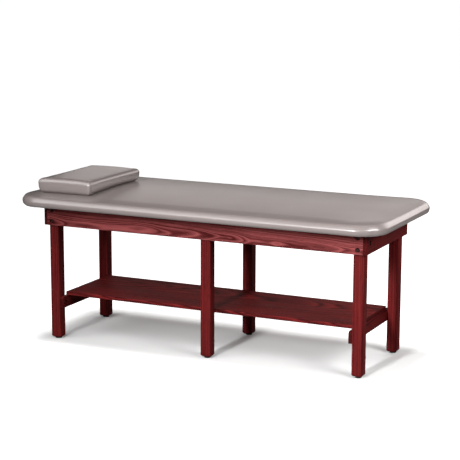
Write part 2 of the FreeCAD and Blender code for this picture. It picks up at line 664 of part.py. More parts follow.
def screwShape(length):
    """A pan head wood screw: head below its origin, shank and point above it."""
    head = Part.makeCylinder(size("screwHeadRadius"), size("screwHeadHeight"),
                             FreeCAD.Vector(0, 0, -size("screwHeadHeight")))
    shank = Part.makeCylinder(size("screwShankRadius"), length - size("screwTipLength"))
    tip = Part.makeCone(size("screwShankRadius"), size("screwShankRadius") * pointRadiusShare,
                        size("screwTipLength"),
                        FreeCAD.Vector(0, 0, length - size("screwTipLength")))
    return head.fuse([shank, tip]).removeSplitter()


def addGroup(label, solids):
    addShape(label, Part.makeCompound(solids), FreeCAD.Vector(0, 0, 0))


def addBolts(boltLabel, washerLabel, places, thickness, bite):
    """Bolts with their washers. Places are pairs of a point on the outer face and a direction."""
    seat = size("counterboreDepth") - size("washerThickness")
    grip = thickness - seat
    bolts, washers = [], []
    for point, direction in places:
        start = point + direction * seat
        bolts.append(placedAlong(boltShape(bite, grip), start, direction))
        washers.append(placedAlong(washerShape(), start, direction))
    addGroup(boltLabel, bolts)
    addGroup(washerLabel, washers)


def makeFasteners():
    alongX, alongY, up = FreeCAD.Vector(1, 0, 0), FreeCAD.Vector(0, 1, 0), FreeCAD.Vector(0, 0, 1)
    legX, legY = numberOf(legCentreX), numberOf(legCentreY)
    rail, bite, middleX = size("railThickness"), size("screwBite"), size("middleLegShift")
    corners = [(end, side) for end in (-1, 1) for side in (-1, 1)]
    apronHeights = [numberOf(lowApronBolt), numberOf(highApronBolt)]

    apronPlaces = [(FreeCAD.Vector(end * legX, side * numberOf(frameWidth) / 2, height),
                    alongY * -side) for end, side in corners for height in apronHeights]
    addBolts("apron_bolts", "apron_washers", apronPlaces, rail, size("boltBite"))
    endPlaces = [(FreeCAD.Vector(end * numberOf(frameLength) / 2, side * legY,
                                 numberOf(endRailBolt)), alongX * -end)
                 for end, side in corners]
    addBolts("end_rail_bolts", "end_rail_washers", endPlaces, rail, size("boltBite"))
    railFace = numberOf(legInnerX) - size("shelfRailThickness")
    shelfPlaces = [(FreeCAD.Vector(end * railFace, side * legY, numberOf(shelfBoltHeight)),
                    alongX * end) for end, side in corners]
    addBolts("shelf_rail_bolts", "shelf_rail_washers", shelfPlaces,
             size("shelfRailThickness"), size("shelfBoltBite"))

    footScrew = screwShape(size("footHeight") - size("footRecessDepth") + size("footScrewBite"))
    addGroup("foot_screws", [placedAlong(footScrew, FreeCAD.Vector(x, side * legY,
                             size("footRecessDepth")), up)
                             for x in (-legX, middleX, legX) for side in (-1, 1)])
    legScrew = screwShape(size("legSection") - size("legScrewBore") + bite)
    innerLegY = numberOf(legInnerY)
    addGroup("middle_leg_screws", [placedAlong(legScrew, FreeCAD.Vector(middleX, side
                                   * (innerLegY + size("legScrewBore")), height),
                                   alongY * side) for side in (-1, 1) for height in apronHeights])
    braceScrew = screwShape(size("braceThickness") + size("braceScrewBite"))
    braceHeights = [numberOf(lowBraceScrew), numberOf(highBraceScrew)]
    addGroup("brace_screws", [placedAlong(braceScrew, FreeCAD.Vector(
        numberOf(braceFaceX), side * legY, height), alongX * -1)
        for side in (-1, 1) for height in braceHeights])
    battenScrew = screwShape(size("battenSection") + bite)
    battenFace = numberOf(apronInnerY) - size("battenSection")
    addGroup("batten_screws", [placedAlong(battenScrew, FreeCAD.Vector(
        end * numberOf(shareAlongBatten(share)), side * battenFace,
        numberOf(battenScrewHeight)), alongY * side)
        for end, side in corners for share in battenScrewShares])
    addGroup("deck_screws", [placedAlong(battenScrew, FreeCAD.Vector(
        end * numberOf(shareAlongBatten(share)), side * numberOf(battenCentreY),
        numberOf(battenFoot)), up) for end, side in corners for share in deckScrewShares])
    shelfScrew = screwShape(size("shelfRailHeight") - size("shelfScrewBore") + bite)
    shelfStart = numberOf(shelfRailFoot) + size("shelfScrewBore")
    addGroup("shelf_screws", [placedAlong(shelfScrew, FreeCAD.Vector(
        end * numberOf(shelfRailCentreX), step * size("shelfScrewSpacing"), shelfStart), up)
        for end in (-1, 1) for step in (-1, 0, 1)])
    angleScrew = screwShape(size("angleThickness") + bite)
    angleScrews = []
    for way in (-1, 1):
        for side in (-1, 1):
            x = middleX + way * size("angleHoleSpacing") / 2
            wallFace = innerLegY - size("angleThickness")
            angleScrews.append(placedAlong(angleScrew, FreeCAD.Vector(
                x, side * wallFace, numberOf(angleScrewHeight)), alongY * side))
            shelfFace = numberOf(shelfUnderside) - size("angleThickness")
            angleScrews.append(placedAlong(angleScrew, FreeCAD.Vector(
                x, side * numberOf(angleScrewY), shelfFace), up))
    addGroup("angle_screws", angleScrews)


def makeTable():
    makeApron("front_apron", -1)
    makeApron("back_apron", 1)
    makeEndRail("head_end_rail", -1)
    makeEndRail("foot_end_rail", 1)
    for endName, end in (("head", -1), ("foot", 1)):
        for sideName, side in (("front", -1), ("back", 1)):
            makeCornerLeg("leg_%s_%s" % (endName, sideName), end, side)
            makeBatten("deck_batten_%s_%s" % (endName, sideName), end, side)
            makeFoot("rubber_foot_%s_%s" % (endName, sideName),
                     signed(end, legCentreX), signed(side, legCentreY))
    for sideName, side in (("front", -1), ("back", 1)):
        makeMiddleLeg("leg_middle_" + sideName, side)
        makeFoot("rubber_foot_middle_" + sideName, named("middleLegShift"),
                 signed(side, legCentreY))
        makeShelfAngle("shelf_angle_" + sideName, side)
    makeShelf("shelf")
    makeShelfRail("shelf_rail_head", -1)
    makeShelfRail("shelf_rail_foot", 1)
    makeBrace("middle_brace")
    makeDeck("top_deck")
    makeTopUpholstery()
    makePillow()
    makeFasteners()


def subParts():
    """The bodies and shapes that are pieces of the table, in the order they were made."""
    bodies = document.findObjects("PartDesign::Body")
    shapes = [item for item in document.findObjects("Part::Feature")
              if item.TypeId == "Part::Feature"]
    return bodies + shapes


def checkDocument():
    for item in document.Objects:
        if "Invalid" in item.State or "Error" in item.State:
            raise ValueError("%s is %s" % (item.Label, item.State))
    for item in subParts():
        if item.Shape.isNull() or not item.Shape.isValid():
            raise ValueError("shape of %s is not valid" % item.Label)


def exportParts():
    os.makedirs("parts", exist_ok=True)
    for item in subParts():
        item.Shape.exportStep("parts/%s.step" % item.Label)
        box = item.Shape.BoundBox
        print("%-28s %2d solids %12.0f mm3  x %8.1f %8.1f  y %8.1f %8.1f  z %7.1f %7.1f" % (
            item.Label, len(item.Shape.Solids), item.Shape.Volume, box.XMin, box.XMax,
            box.YMin, box.YMax, box.ZMin, box.ZMax))


makeTable()
document.recompute()
checkDocument()
exportParts()
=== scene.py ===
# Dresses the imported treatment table: finishes on its boards and fittings, the padded top,
# the block pillow, the staples under the top, and a plain studio round them. Metres, +Z up.
import math
import bpy
import numpy as np
from mathutils import Matrix, Vector


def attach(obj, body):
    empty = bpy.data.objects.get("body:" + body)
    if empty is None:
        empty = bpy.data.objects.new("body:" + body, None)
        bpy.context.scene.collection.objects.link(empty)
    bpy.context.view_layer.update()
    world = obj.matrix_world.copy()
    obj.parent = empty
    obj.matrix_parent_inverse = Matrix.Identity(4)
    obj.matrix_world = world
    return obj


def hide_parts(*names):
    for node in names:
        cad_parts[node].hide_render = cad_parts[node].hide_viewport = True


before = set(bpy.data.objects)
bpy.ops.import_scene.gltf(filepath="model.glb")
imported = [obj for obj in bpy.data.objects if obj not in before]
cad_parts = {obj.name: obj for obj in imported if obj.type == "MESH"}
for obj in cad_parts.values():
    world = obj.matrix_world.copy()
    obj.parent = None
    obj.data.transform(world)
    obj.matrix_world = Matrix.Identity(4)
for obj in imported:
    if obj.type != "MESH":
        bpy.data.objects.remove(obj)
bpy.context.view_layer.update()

# the camera's place, its turn in degrees, and its lens, at the photograph's viewing angle
view = {"place": (3.2577, -6.7939, 2.0633), "yaw": 25.359, "pitch": 10.979, "roll": 0.193,
        "lens": 118.27, "sensor": 36.0, "nearest": 0.1, "furthest": 200.0}


def makeCamera(v):
    # the line of sight turns left by yaw and dips by pitch, and the picture rolls about it
    yaw, pitch, roll = (math.radians(v[key]) for key in ("yaw", "pitch", "roll"))
    forward = Vector((-math.sin(yaw) * math.cos(pitch), math.cos(yaw) * math.cos(pitch),
                      -math.sin(pitch)))
    level = Vector((math.cos(yaw), math.sin(yaw), 0.0))
    upright = level.cross(forward)
    right = math.cos(roll) * level + math.sin(roll) * upright
    up = math.cos(roll) * upright - math.sin(roll) * level
    data = bpy.data.cameras.new("tableCamera")
    data.lens, data.sensor_width = v["lens"], v["sensor"]
    data.clip_start, data.clip_end = v["nearest"], v["furthest"]
    camera = bpy.data.objects.new("tableCamera", data)
    turn = Matrix((right, up, -forward)).transposed().to_4x4()
    camera.matrix_world = Matrix.Translation(v["place"]) @ turn
    bpy.context.scene.collection.objects.link(camera)
    bpy.context.scene.camera = camera


makeCamera(view)
print("camera made")


# Short ways to place nodes. A feed is a plain value or the output that a socket takes it from.
def feed(tree, socket, value):
    if isinstance(value, bpy.types.NodeSocket):
        tree.links.new(value, socket)
    else:
        socket.default_value = value


def addNode(tree, kind, feeds=None, **settings):
    # the settings come first, because they change a node's sockets
    made = tree.nodes.new(kind)
    for key, value in settings.items():
        setattr(made, key, value)
    for key, value in (feeds or {}).items():
        feed(tree, made.inputs[key], value)
    return made


def maths(tree, operation, first, second=0.0, clamp=False):
    # one number from two
    return addNode(tree, "ShaderNodeMath", {0: first, 1: second}, operation=operation,
                   use_clamp=clamp).outputs[0]


def vectorMaths(tree, operation, first, second):
    # one vector, or its length, from two
    return addNode(tree, "ShaderNodeVectorMath", {0: first, 1: second},
                   operation=operation).outputs


def ranged(tree, value, band, bottom=0.0, top=1.0):
    # a value from one end of the band to the other becomes bottom to top, with an eased run
    return addNode(tree, "ShaderNodeMapRange",
                   {"Value": value, "From Min": band[0], "From Max": band[1],
                    "To Min": bottom, "To Max": top},
                   interpolation_type="SMOOTHSTEP").outputs["Result"]


def mixed(tree, share, first, second):
    # share 0 gives the first colour, 1 the second
    return addNode(tree, "ShaderNodeMix", {0: share, 6: first, 7: second},
                   data_type="RGBA").outputs[2]


def noise(tree, place, scale, detail, roughness=0.5):
    # soft lumps, scale of them to a unit of the place
    return addNode(tree, "ShaderNodeTexNoise", {"Vector": place, "Scale": scale,
                                                "Detail": detail, "Roughness": roughness}).outputs


def stretched(tree, place, scale):
    # the place times a scale along each axis, so that a pattern is drawn out along the grain
    return addNode(tree, "ShaderNodeMapping", {"Vector": place, "Scale": scale}).outputs[0]


def bumped(tree, shader, height, strength, depth):
    # tilts the shading by the slope of a height pattern that is depth metres deep
    bump = addNode(tree, "ShaderNodeBump", {"Strength": strength, "Distance": depth,
                                            "Height": height})
    feed(tree, shader.inputs["Normal"], bump.outputs[0])


def colour(red, green, blue):
    # a colour written in 0 to 255 screen values, made linear
    def linear(level):
        share = level / 255
        return share / 12.92 if share <= 0.04045 else ((share + 0.055) / 1.055) ** 2.4
    return (linear(red), linear(green), linear(blue), 1.0)


def grey(level):
    # the same linear level in all three colours
    return (level, level, level, 1.0)


def newGroup(name, takes, gives):
    # a node group that reads a place and the named numbers, and puts out the named values
    group = bpy.data.node_groups.new(name, "ShaderNodeTree")
    group.interface.new_socket("Vector", in_out="INPUT", socket_type="NodeSocketVector")
    for label in takes:
        group.interface.new_socket(label, in_out="INPUT", socket_type="NodeSocketFloat")
    for label in gives:
        group.interface.new_socket(label, in_out="OUTPUT", socket_type="NodeSocketFloat")
    taken, given = group.nodes.new("NodeGroupInput"), group.nodes.new("NodeGroupOutput")
    return group, taken.outputs, given.inputs


def giveOut(group, given, values):
    # joins each value to the output of its name
    for label, value in values.items():
        feed(group, given[label], value)


def placeGroup(tree, group, feeds):
    # the group in a material, fed with that material's own values
    return addNode(tree, "ShaderNodeGroup", feeds, node_tree=group).outputs


# noise lies round a half: what falls in one of these bands is spread over the whole run
wideBand, narrowBand = (0.3, 0.7), (0.35, 0.65)

# Sawn timber. Stretches are how fast a pattern changes along the grain and across it, in
# units of noise to a metre. Ring stops are places in a ring and its dark stain's share.
sawnGrain = {
    "wanderAcross": 7.0, "wanderDetail": 2.5, "wanderRoughness": 0.45,
    "unevenPace": 0.55, "unevenDetail": 1.0, "unevenness": 1.6, "ringEnd": 0.85,
    "ringStops": ((0.12, 0.95), (0.32, 0.60), (0.56, 0.36), (0.72, 0.04), (0.84, 0.26)),
    "poreStretch": (34.0, 900.0, 900.0), "poreDetail": 1.5, "poreRough": 0.6,
    "poreLevel": 0.66, "poreInRing": 0.16, "poreEdge": 9.0,
    "toneStretch": (2.4, 16.0, 16.0), "toneDetail": 3.0, "toneRough": 0.55,
    "fibreStretch": (9.0, 260.0, 260.0), "fibreDetail": 2.0, "fibreRough": 0.7,
    "broadShare": 0.6, "fibreShare": 0.4, "fibreHeight": 0.35, "ringHeight": 0.25,
    "shade": 0.22, "poreShare": 0.7, "endBand": (0.72, 0.96), "endShare": 0.55,
    "smoother": 0.05, "rougher": 0.06, "poreRougher": 0.15, "specular": 0.05,
    "bump": 0.5, "bumpDepth": 0.00025,
}


def makeBoardGrain(g):
    # Growth rings are the distance from the log's heart, which lies along X, plus the log's
    # taper along X and a slow wander, divided by the ring width.
    group, taken, given = newGroup("boardGrain", ("Ring Width", "Taper", "Wander",
                                                  "Wander Length"),
                                   ("Rings", "Pores", "Tone", "Height"))
    place = taken["Vector"]
    axes = addNode(group, "ShaderNodeSeparateXYZ", {0: place}).outputs
    slow = addNode(group, "ShaderNodeCombineXYZ", {
        0: maths(group, "MULTIPLY", axes[0], taken["Wander Length"]),
        1: maths(group, "MULTIPLY", axes[1], g["wanderAcross"]),
        2: maths(group, "MULTIPLY", axes[2], g["wanderAcross"])}).outputs[0]
    wander = noise(group, slow, 1.0, g["wanderDetail"], g["wanderRoughness"])[0]
    pushed = maths(group, "MULTIPLY", maths(group, "SUBTRACT", wander, 0.5), taken["Wander"])
    radius = maths(group, "SQRT", maths(group, "ADD", maths(group, "POWER", axes[1], 2.0),
                                        maths(group, "POWER", axes[2], 2.0)))
    tapered = maths(group, "ADD", radius, maths(group, "MULTIPLY", axes[0], taken["Taper"]))
    phase = maths(group, "DIVIDE", maths(group, "ADD", tapered, pushed), taken["Ring Width"])
    # no two rings are equally wide: a noise of the ring's own number pushes it on
    uneven = addNode(group, "ShaderNodeTexNoise", {
        "W": maths(group, "MULTIPLY", phase, g["unevenPace"]), "Scale": 1.0,
        "Detail": g["unevenDetail"]}, noise_dimensions="1D").outputs[0]
    phase = maths(group, "ADD", phase, maths(group, "MULTIPLY", uneven, g["unevenness"]))
    ramp = addNode(group, "ShaderNodeValToRGB", {0: maths(group, "FRACT", phase)})
    stops = ramp.color_ramp.elements
    stops[0].position, stops[0].color = 0.0, grey(g["ringEnd"])
    stops[1].position, stops[1].color = 1.0, grey(g["ringEnd"])
    for position, level in g["ringStops"]:
        stop = stops.new(position)
        stop.color = grey(level)
    rings = ramp.outputs[0]
    # pores are the peaks of a fine noise, more of them where the ring is dark
    fine = noise(group, stretched(group, place, g["poreStretch"]), 1.0, g["poreDetail"],
                 g["poreRough"])[0]
    threshold = maths(group, "SUBTRACT", g["poreLevel"],
                      maths(group, "MULTIPLY", rings, g["poreInRing"]))
    pores = maths(group, "MULTIPLY", maths(group, "SUBTRACT", fine, threshold), g["poreEdge"],
                  clamp=True)
    broad = noise(group, stretched(group, place, g["toneStretch"]), 1.0, g["toneDetail"],
                  g["toneRough"])[0]
    threads = noise(group, stretched(group, place, g["fibreStretch"]), 1.0, g["fibreDetail"],
                    g["fibreRough"])[0]
    tone = maths(group, "ADD", maths(group, "MULTIPLY", broad, g["broadShare"]),
                 maths(group, "MULTIPLY", threads, g["fibreShare"]))
    height = maths(group, "SUBTRACT", maths(group, "MULTIPLY", threads, g["fibreHeight"]),
                   maths(group, "ADD", maths(group, "MULTIPLY", rings, g["ringHeight"]), pores))
    giveOut(group, given, {"Rings": rings, "Pores": pores, "Tone": tone, "Height": height})
    return group


# pressed vinyl: its colours, its pebbles to a metre, and its gloss
vinylLook = {
    "raised": colour(122, 113, 111), "valley": colour(104, 95, 93),
    "cloudy": colour(116, 107, 105), "pebbles": 620.0, "warpScale": 180.0, "warpDetail": 2.0,
    "warp": 0.0022, "softness": 0.4, "pebbleBand": (0.15, 0.75), "cloudScale": 3.0,
    "cloudDetail": 3.0,
    "pebbleShare": 0.35, "cloudShare": 0.25, "roughness": 0.34, "roughSpread": 0.03,
    "specular": 0.60, "coat": 0.70, "coatRoughness": 0.30, "bump": 0.25,
    "bumpDepth": 0.00015,
}


def makeVinylGrain(v):
    # pebbles are the distance to the nearest cell's middle, bent by a noise, and the cloud is
    # a slow noise over them
    group, taken, given = newGroup("vinylGrain", ("Pebbles",), ("Pebble", "Cloud", "Height"))
    place = taken["Vector"]
    warp = noise(group, place, v["warpScale"], v["warpDetail"])["Color"]
    shifted = addNode(group, "ShaderNodeVectorMath", {0: warp, "Scale": v["warp"]},
                      operation="SCALE")
    bent = vectorMaths(group, "ADD", place, shifted.outputs[0])[0]
    cells = addNode(group, "ShaderNodeTexVoronoi", {
        "Vector": bent, "Scale": taken["Pebbles"], "Smoothness": v["softness"]},
        feature="SMOOTH_F1")
    cloud = noise(group, place, v["cloudScale"], v["cloudDetail"])[0]
    pebble = ranged(group, cells.outputs["Distance"], v["pebbleBand"])
    giveOut(group, given, {"Pebble": pebble, "Cloud": cloud,
                           "Height": maths(group, "SUBTRACT", 1.0, pebble)})
    return group


# metal and rubber with coarse blotches and fine specks
rubbedMarks = {"blotchScale": 160.0, "blotchDetail": 4.0, "blotchRoughness": 0.6,
               "speckScale": 1800.0, "speckDetail": 2.0, "smoother": 0.06, "rougher": 0.08,
               "bump": 0.3, "bumpDepth": 0.00008}


def makeRubbedMetal(r):
    # two noises of the place, one coarse and one fine
    group, taken, given = newGroup("rubbedMetal", (), ("Blotch", "Speck"))
    place = taken["Vector"]
    giveOut(group, given, {
        "Blotch": noise(group, place, r["blotchScale"], r["blotchDetail"],
                        r["blotchRoughness"])[0],
        "Speck": noise(group, place, r["speckScale"], r["speckDetail"])[0]})
    return group


boardGrain = makeBoardGrain(sawnGrain)
vinylGrain = makeVinylGrain(vinylLook)
rubbedMetal = makeRubbedMetal(rubbedMarks)


def newMaterial(name, constants):
    # a material with its Principled shader's plain numbers set on the shader itself
    material = bpy.data.materials.new(name)
    material.use_nodes = True
    tree = material.node_tree
    shader = tree.nodes["Principled BSDF"]
    for key, value in constants.items():
        shader.inputs[key].default_value = value
    return material, tree, shader, addNode(tree, "ShaderNodeTexCoord").outputs


# how a board's own axes are turned so that its grain runs along X, and which way it ran
grainTurns = {"X": (0.0, 0.0, 0.0), "Y": (0.0, 0.0, -math.pi / 2), "Z": (0.0, math.pi / 2, 0.0)}
grainAxes = {"X": (1.0, 0.0, 0.0), "Y": (0.0, 1.0, 0.0), "Z": (0.0, 0.0, 1.0)}

# stain colours: of the late wood, the open early wood, its pores and the end grain
mahoganyStain = {"light": colour(96, 25, 25), "dark": colour(44, 3, 4),
                 "pore": colour(24, 2, 3), "end": colour(34, 3, 4)}
# a paler, greyer copy of the mahogany for the front apron alone: painted light and sheen where
# the pad's overhang shades the apron
apronMahoganyPaintedLight = {"light": colour(134, 66, 66), "dark": colour(64, 15, 15),
                 "pore": colour(40, 8, 8), "end": colour(46, 8, 8)}
# a slightly lighter copy of the mahogany for the shelf: painted light on a board that lies in the
# top's shade
shelfMahoganyPaintedLight = {"light": colour(102, 28, 28), "dark": colour(48, 7, 7),
                 "pore": colour(30, 4, 4), "end": colour(40, 5, 5)}
plainPine = {"light": colour(222, 190, 142), "dark": colour(190, 140, 88),
             "pore": colour(150, 105, 66), "end": colour(176, 132, 88)}
birchVeneer = {"light": colour(214, 184, 142), "dark": colour(188, 150, 106),
               "pore": colour(150, 112, 76), "end": colour(150, 112, 76)}

# what a board is, unless its own line says otherwise
plainBoard = {"stain": mahoganyStain, "run": "X", "ringWidth": 0.008, "taper": 0.05,
              "wander": 0.03, "wanderLength": 1.6, "roughness": 0.55, "contrast": 1.0}


def boardMaterial(name, board):
    # The rings mix the light and the dark stain, a slow tone shades them, and pores and end
    # grain are laid over. heart is where the log's middle line lies, in the turned axes.
    b, g = {**plainBoard, **board}, sawnGrain
    stain, contrast = b["stain"], b["contrast"]
    material, tree, shader, place = newMaterial(name, {"Specular IOR Level": g["specular"]})
    turned = addNode(tree, "ShaderNodeMapping", {
        "Vector": place["Object"], "Rotation": grainTurns[b["run"]],
        "Location": tuple(-value for value in b["heart"])})
    grain = placeGroup(tree, boardGrain, {
        "Vector": turned.outputs[0], "Ring Width": b["ringWidth"], "Taper": b["taper"],
        "Wander": b["wander"], "Wander Length": b["wanderLength"]})
    shade = ranged(tree, grain["Tone"], narrowBand, g["shade"] * contrast,
                   -g["shade"] * contrast)
    share = maths(tree, "ADD", maths(tree, "MULTIPLY", grain["Rings"], contrast), shade,
                  clamp=True)
    base = mixed(tree, share, stain["light"], stain["dark"])
    base = mixed(tree, maths(tree, "MULTIPLY", grain["Pores"], g["poreShare"]), base,
                 stain["pore"])
    facing = vectorMaths(tree, "DOT_PRODUCT", place["Normal"], grainAxes[b["run"]])["Value"]
    atEnd = ranged(tree, maths(tree, "ABSOLUTE", facing), g["endBand"])
    base = mixed(tree, maths(tree, "MULTIPLY", atEnd, g["endShare"]), base, stain["end"])
    feed(tree, shader.inputs["Base Color"], base)
    rough = ranged(tree, grain["Tone"], wideBand, b["roughness"] - g["smoother"],
                   b["roughness"] + g["rougher"])
    pored = maths(tree, "MULTIPLY", grain["Pores"], g["poreRougher"])
    feed(tree, shader.inputs["Roughness"], maths(tree, "ADD", rough, pored))
    bumped(tree, shader, grain["Height"], g["bump"], g["bumpDepth"])
    return material


def vinylMaterial(name, v):
    # the pebbles' tops and valleys are mixed, and the cloud is laid over them
    material, tree, shader, place = newMaterial(name, {
        "Specular IOR Level": v["specular"], "Coat Weight": v["coat"],
        "Coat Roughness": v["coatRoughness"]})
    grain = placeGroup(tree, vinylGrain, {"Vector": place["Object"], "Pebbles": v["pebbles"]})
    base = mixed(tree, maths(tree, "MULTIPLY", grain["Pebble"], v["pebbleShare"]),
                 v["raised"], v["valley"])
    base = mixed(tree, ranged(tree, grain["Cloud"], wideBand, 0.0, v["cloudShare"]), base,
                 v["cloudy"])
    feed(tree, shader.inputs["Base Color"], base)
    feed(tree, shader.inputs["Roughness"],
         ranged(tree, grain["Cloud"], wideBand, v["roughness"] - v["roughSpread"],
                v["roughness"] + v["roughSpread"]))
    bumped(tree, shader, grain["Height"], v["bump"], v["bumpDepth"])
    return material


def metalMaterial(name, m):
    # blotches mix the bright and the dull colour, specks change the gloss and the height
    material, tree, shader, place = newMaterial(name, {
        "Metallic": m["metallic"], "Specular IOR Level": m["specular"]})
    marks = placeGroup(tree, rubbedMetal, {"Vector": place["Object"]})
    feed(tree, shader.inputs["Base Color"],
         mixed(tree, ranged(tree, marks["Blotch"], narrowBand), m["bright"], m["dull"]))
    feed(tree, shader.inputs["Roughness"],
         ranged(tree, marks["Speck"], wideBand, m["roughness"] - rubbedMarks["smoother"],
                m["roughness"] + rubbedMarks["rougher"]))
    bumped(tree, shader, marks["Speck"], rubbedMarks["bump"], rubbedMarks["bumpDepth"])
    return material


def rubberMaterial(name, r):
    # blotches mix the two blacks, and specks change the gloss
    material, tree, shader, place = newMaterial(name, {"Specular IOR Level": r["specular"]})
    marks = placeGroup(tree, rubbedMetal, {"Vector": place["Object"]})
    feed(tree, shader.inputs["Base Color"], mixed(tree, marks["Blotch"], r["dark"], r["worn"]))
    feed(tree, shader.inputs["Roughness"],
         ranged(tree, marks["Speck"], wideBand, *r["roughness"]))
    return material


vinyl = vinylMaterial("vinyl", vinylLook)

# rings that several boards share
endRings = dict(run="Y", ringWidth=0.007, taper=0.02, wander=0.02)
shelfRailRings = dict(run="Y", ringWidth=0.005, taper=0.01, wander=0.015)
legRings = dict(run="Z", ringWidth=0.0085, taper=0.006, wander=0.012, wanderLength=1.4,
                contrast=0.7)
pineRings = dict(stain=plainPine, ringWidth=0.006, roughness=0.6)

# each stained board, cut from its own log
boards = {
    # the front apron's paler copy of the stain is painted light and sheen
    "front_apron": dict(heart=(0.25, -0.22, 0.625), stain=apronMahoganyPaintedLight, ringWidth=0.0032,
                        taper=0.014, wander=0.022, wanderLength=2.4, contrast=0.95),
    "back_apron": dict(heart=(-0.30, 0.36, 0.71), ringWidth=0.009, wander=0.05),
    "head_end_rail": dict(endRings, heart=(0.1, 0.80, 0.84)),
    "foot_end_rail": dict(endRings, heart=(-0.2, -0.95, 0.84), contrast=0.8),
    # the shelf's lighter copy of the stain is painted light
    "shelf": dict(heart=(0.35, 0.10, 0.10), stain=shelfMahoganyPaintedLight, ringWidth=0.010,
                  wander=0.07, wanderLength=1.3),
    "shelf_rail_head": dict(shelfRailRings, heart=(0.0, 0.62, 0.30)),
    "shelf_rail_foot": dict(shelfRailRings, heart=(0.2, -0.62, 0.30)),
    "leg_head_front": dict(legRings, heart=(0.1, -0.10, 1.05)),
    "leg_head_back": dict(legRings, heart=(0.4, 0.42, 1.02)),
    "leg_middle_front": dict(legRings, heart=(-0.3, -0.12, 0.22)),
    "leg_middle_back": dict(legRings, heart=(0.2, 0.40, 0.20)),
    "leg_foot_front": dict(legRings, heart=(0.5, -0.12, -0.62)),
    "leg_foot_back": dict(legRings, heart=(-0.1, 0.42, -0.66)),
}

# unstained timber out of sight: each material's board, and the nodes cut from it
hiddenBoards = {
    "pineBatten": (dict(pineRings, heart=(0.0, 0.22, 0.74)),
                   ("deck_batten_head_front", "deck_batten_head_back",
                    "deck_batten_foot_front", "deck_batten_foot_back")),
    "pineBrace": (dict(pineRings, run="Y", heart=(0.0, 0.05, 0.60)), ("middle_brace",)),
    "birchDeck": (dict(heart=(0.0, 0.0, 0.66), stain=birchVeneer, ringWidth=0.004, taper=0.01,
                       wander=0.06, roughness=0.6, contrast=0.7), ("top_deck",)),
}

# each metal and the fittings made of it
fittings = {
    # the bolt heads are dark bronze, darkened further as painted shade of the counterbores they
    # sit in
    "bronzeBoltPaintedShade": (dict(bright=colour(60, 22, 21), dull=colour(34, 11, 10), roughness=0.6,
                        metallic=0.1, specular=0.2),
                   ("apron_bolts", "end_rail_bolts", "shelf_rail_bolts")),
    # the washers are black, and are painted near black besides, as painted shade deep in the
    # counterbores
    "blackWasherPaintedShade": (dict(bright=colour(5, 4, 4), dull=colour(2, 2, 2), roughness=0.85,
                         metallic=0.0, specular=0.05),
                    ("apron_washers", "end_rail_washers", "shelf_rail_washers")),
    "blackSteel": (dict(bright=colour(44, 43, 44), dull=colour(28, 27, 28), roughness=0.5,
                        metallic=0.5, specular=0.5),
                   ("shelf_angle_front", "shelf_angle_back")),
    "zincScrew": (dict(bright=colour(196, 198, 202), dull=colour(158, 160, 164),
                       roughness=0.34, metallic=1.0, specular=0.5),
                  ("angle_screws", "batten_screws", "brace_screws", "deck_screws",
                   "foot_screws", "middle_leg_screws", "shelf_screws")),
}

rubberFeet = {"dark": colour(26, 25, 26), "worn": colour(40, 38, 38), "roughness": (0.6, 0.8),
              "specular": 0.35}


def finishNodes(material, *nodes):
    # gives the CAD nodes this material alone
    for node in nodes:
        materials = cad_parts[node].data.materials
        materials.clear()
        materials.append(material)
    return material


for node, board in boards.items():
    finishNodes(boardMaterial("stain_" + node, board), node)
for name, (board, nodes) in hiddenBoards.items():
    finishNodes(boardMaterial(name, board), *nodes)
metals = {name: finishNodes(metalMaterial(name, metal), *nodes)
          for name, (metal, nodes) in fittings.items()}
finishNodes(rubberMaterial("blackRubber", rubberFeet),
            *("rubber_foot_%s_%s" % (end, side) for end in ("head", "middle", "foot")
              for side in ("front", "back")))
print("boards and fittings finished")


# Meshes from whole arrays: points in an (n, 3) array, faces as rows of indices.
def meshPiece(name, points, faces, material):
    mesh = bpy.data.meshes.new(name)
    mesh.from_pydata(points.tolist(), [], faces)
    mesh.update()
    mesh.materials.append(material)
    mesh.shade_smooth()
    piece = bpy.data.objects.new(name, mesh)
    bpy.context.scene.collection.objects.link(piece)
    return piece


def rimLine(p):
    # Walks a rounded rectangle counterclockwise, from where its front side meets its right
    # corner. Each point is a point of the inner, sharp rectangle and the way outwards there.
    coreX, coreY = p["halfLength"] - p["cornerRadius"], p["halfWidth"] - p["cornerRadius"]
    quarter = np.linspace(0, math.pi / 2, 2 * p["cornerCells"] + 1)
    runX, runY = (np.linspace(0, 1, p[key] + 1)[1:-1, None] for key in ("cellsX", "cellsY"))
    sides = ((1, -1), (1, 1), (-1, 1), (-1, -1))
    cores, ways = [], []
    for index, side in enumerate(sides):
        turn = quarter + math.pi / 2 * (index - 1)
        following = sides[(index + 1) % 4]
        start, end = (np.array((x * coreX, y * coreY)) for x, y in (side, following))
        run = runY if side[0] == following[0] else runX
        cores += [np.tile(start, (len(turn), 1)), start + (end - start) * run]
        ways += [np.column_stack((np.cos(turn), np.sin(turn))),
                 np.tile((math.cos(turn[-1]), math.sin(turn[-1])), (len(run), 1))]
    return np.concatenate(cores), np.concatenate(ways)


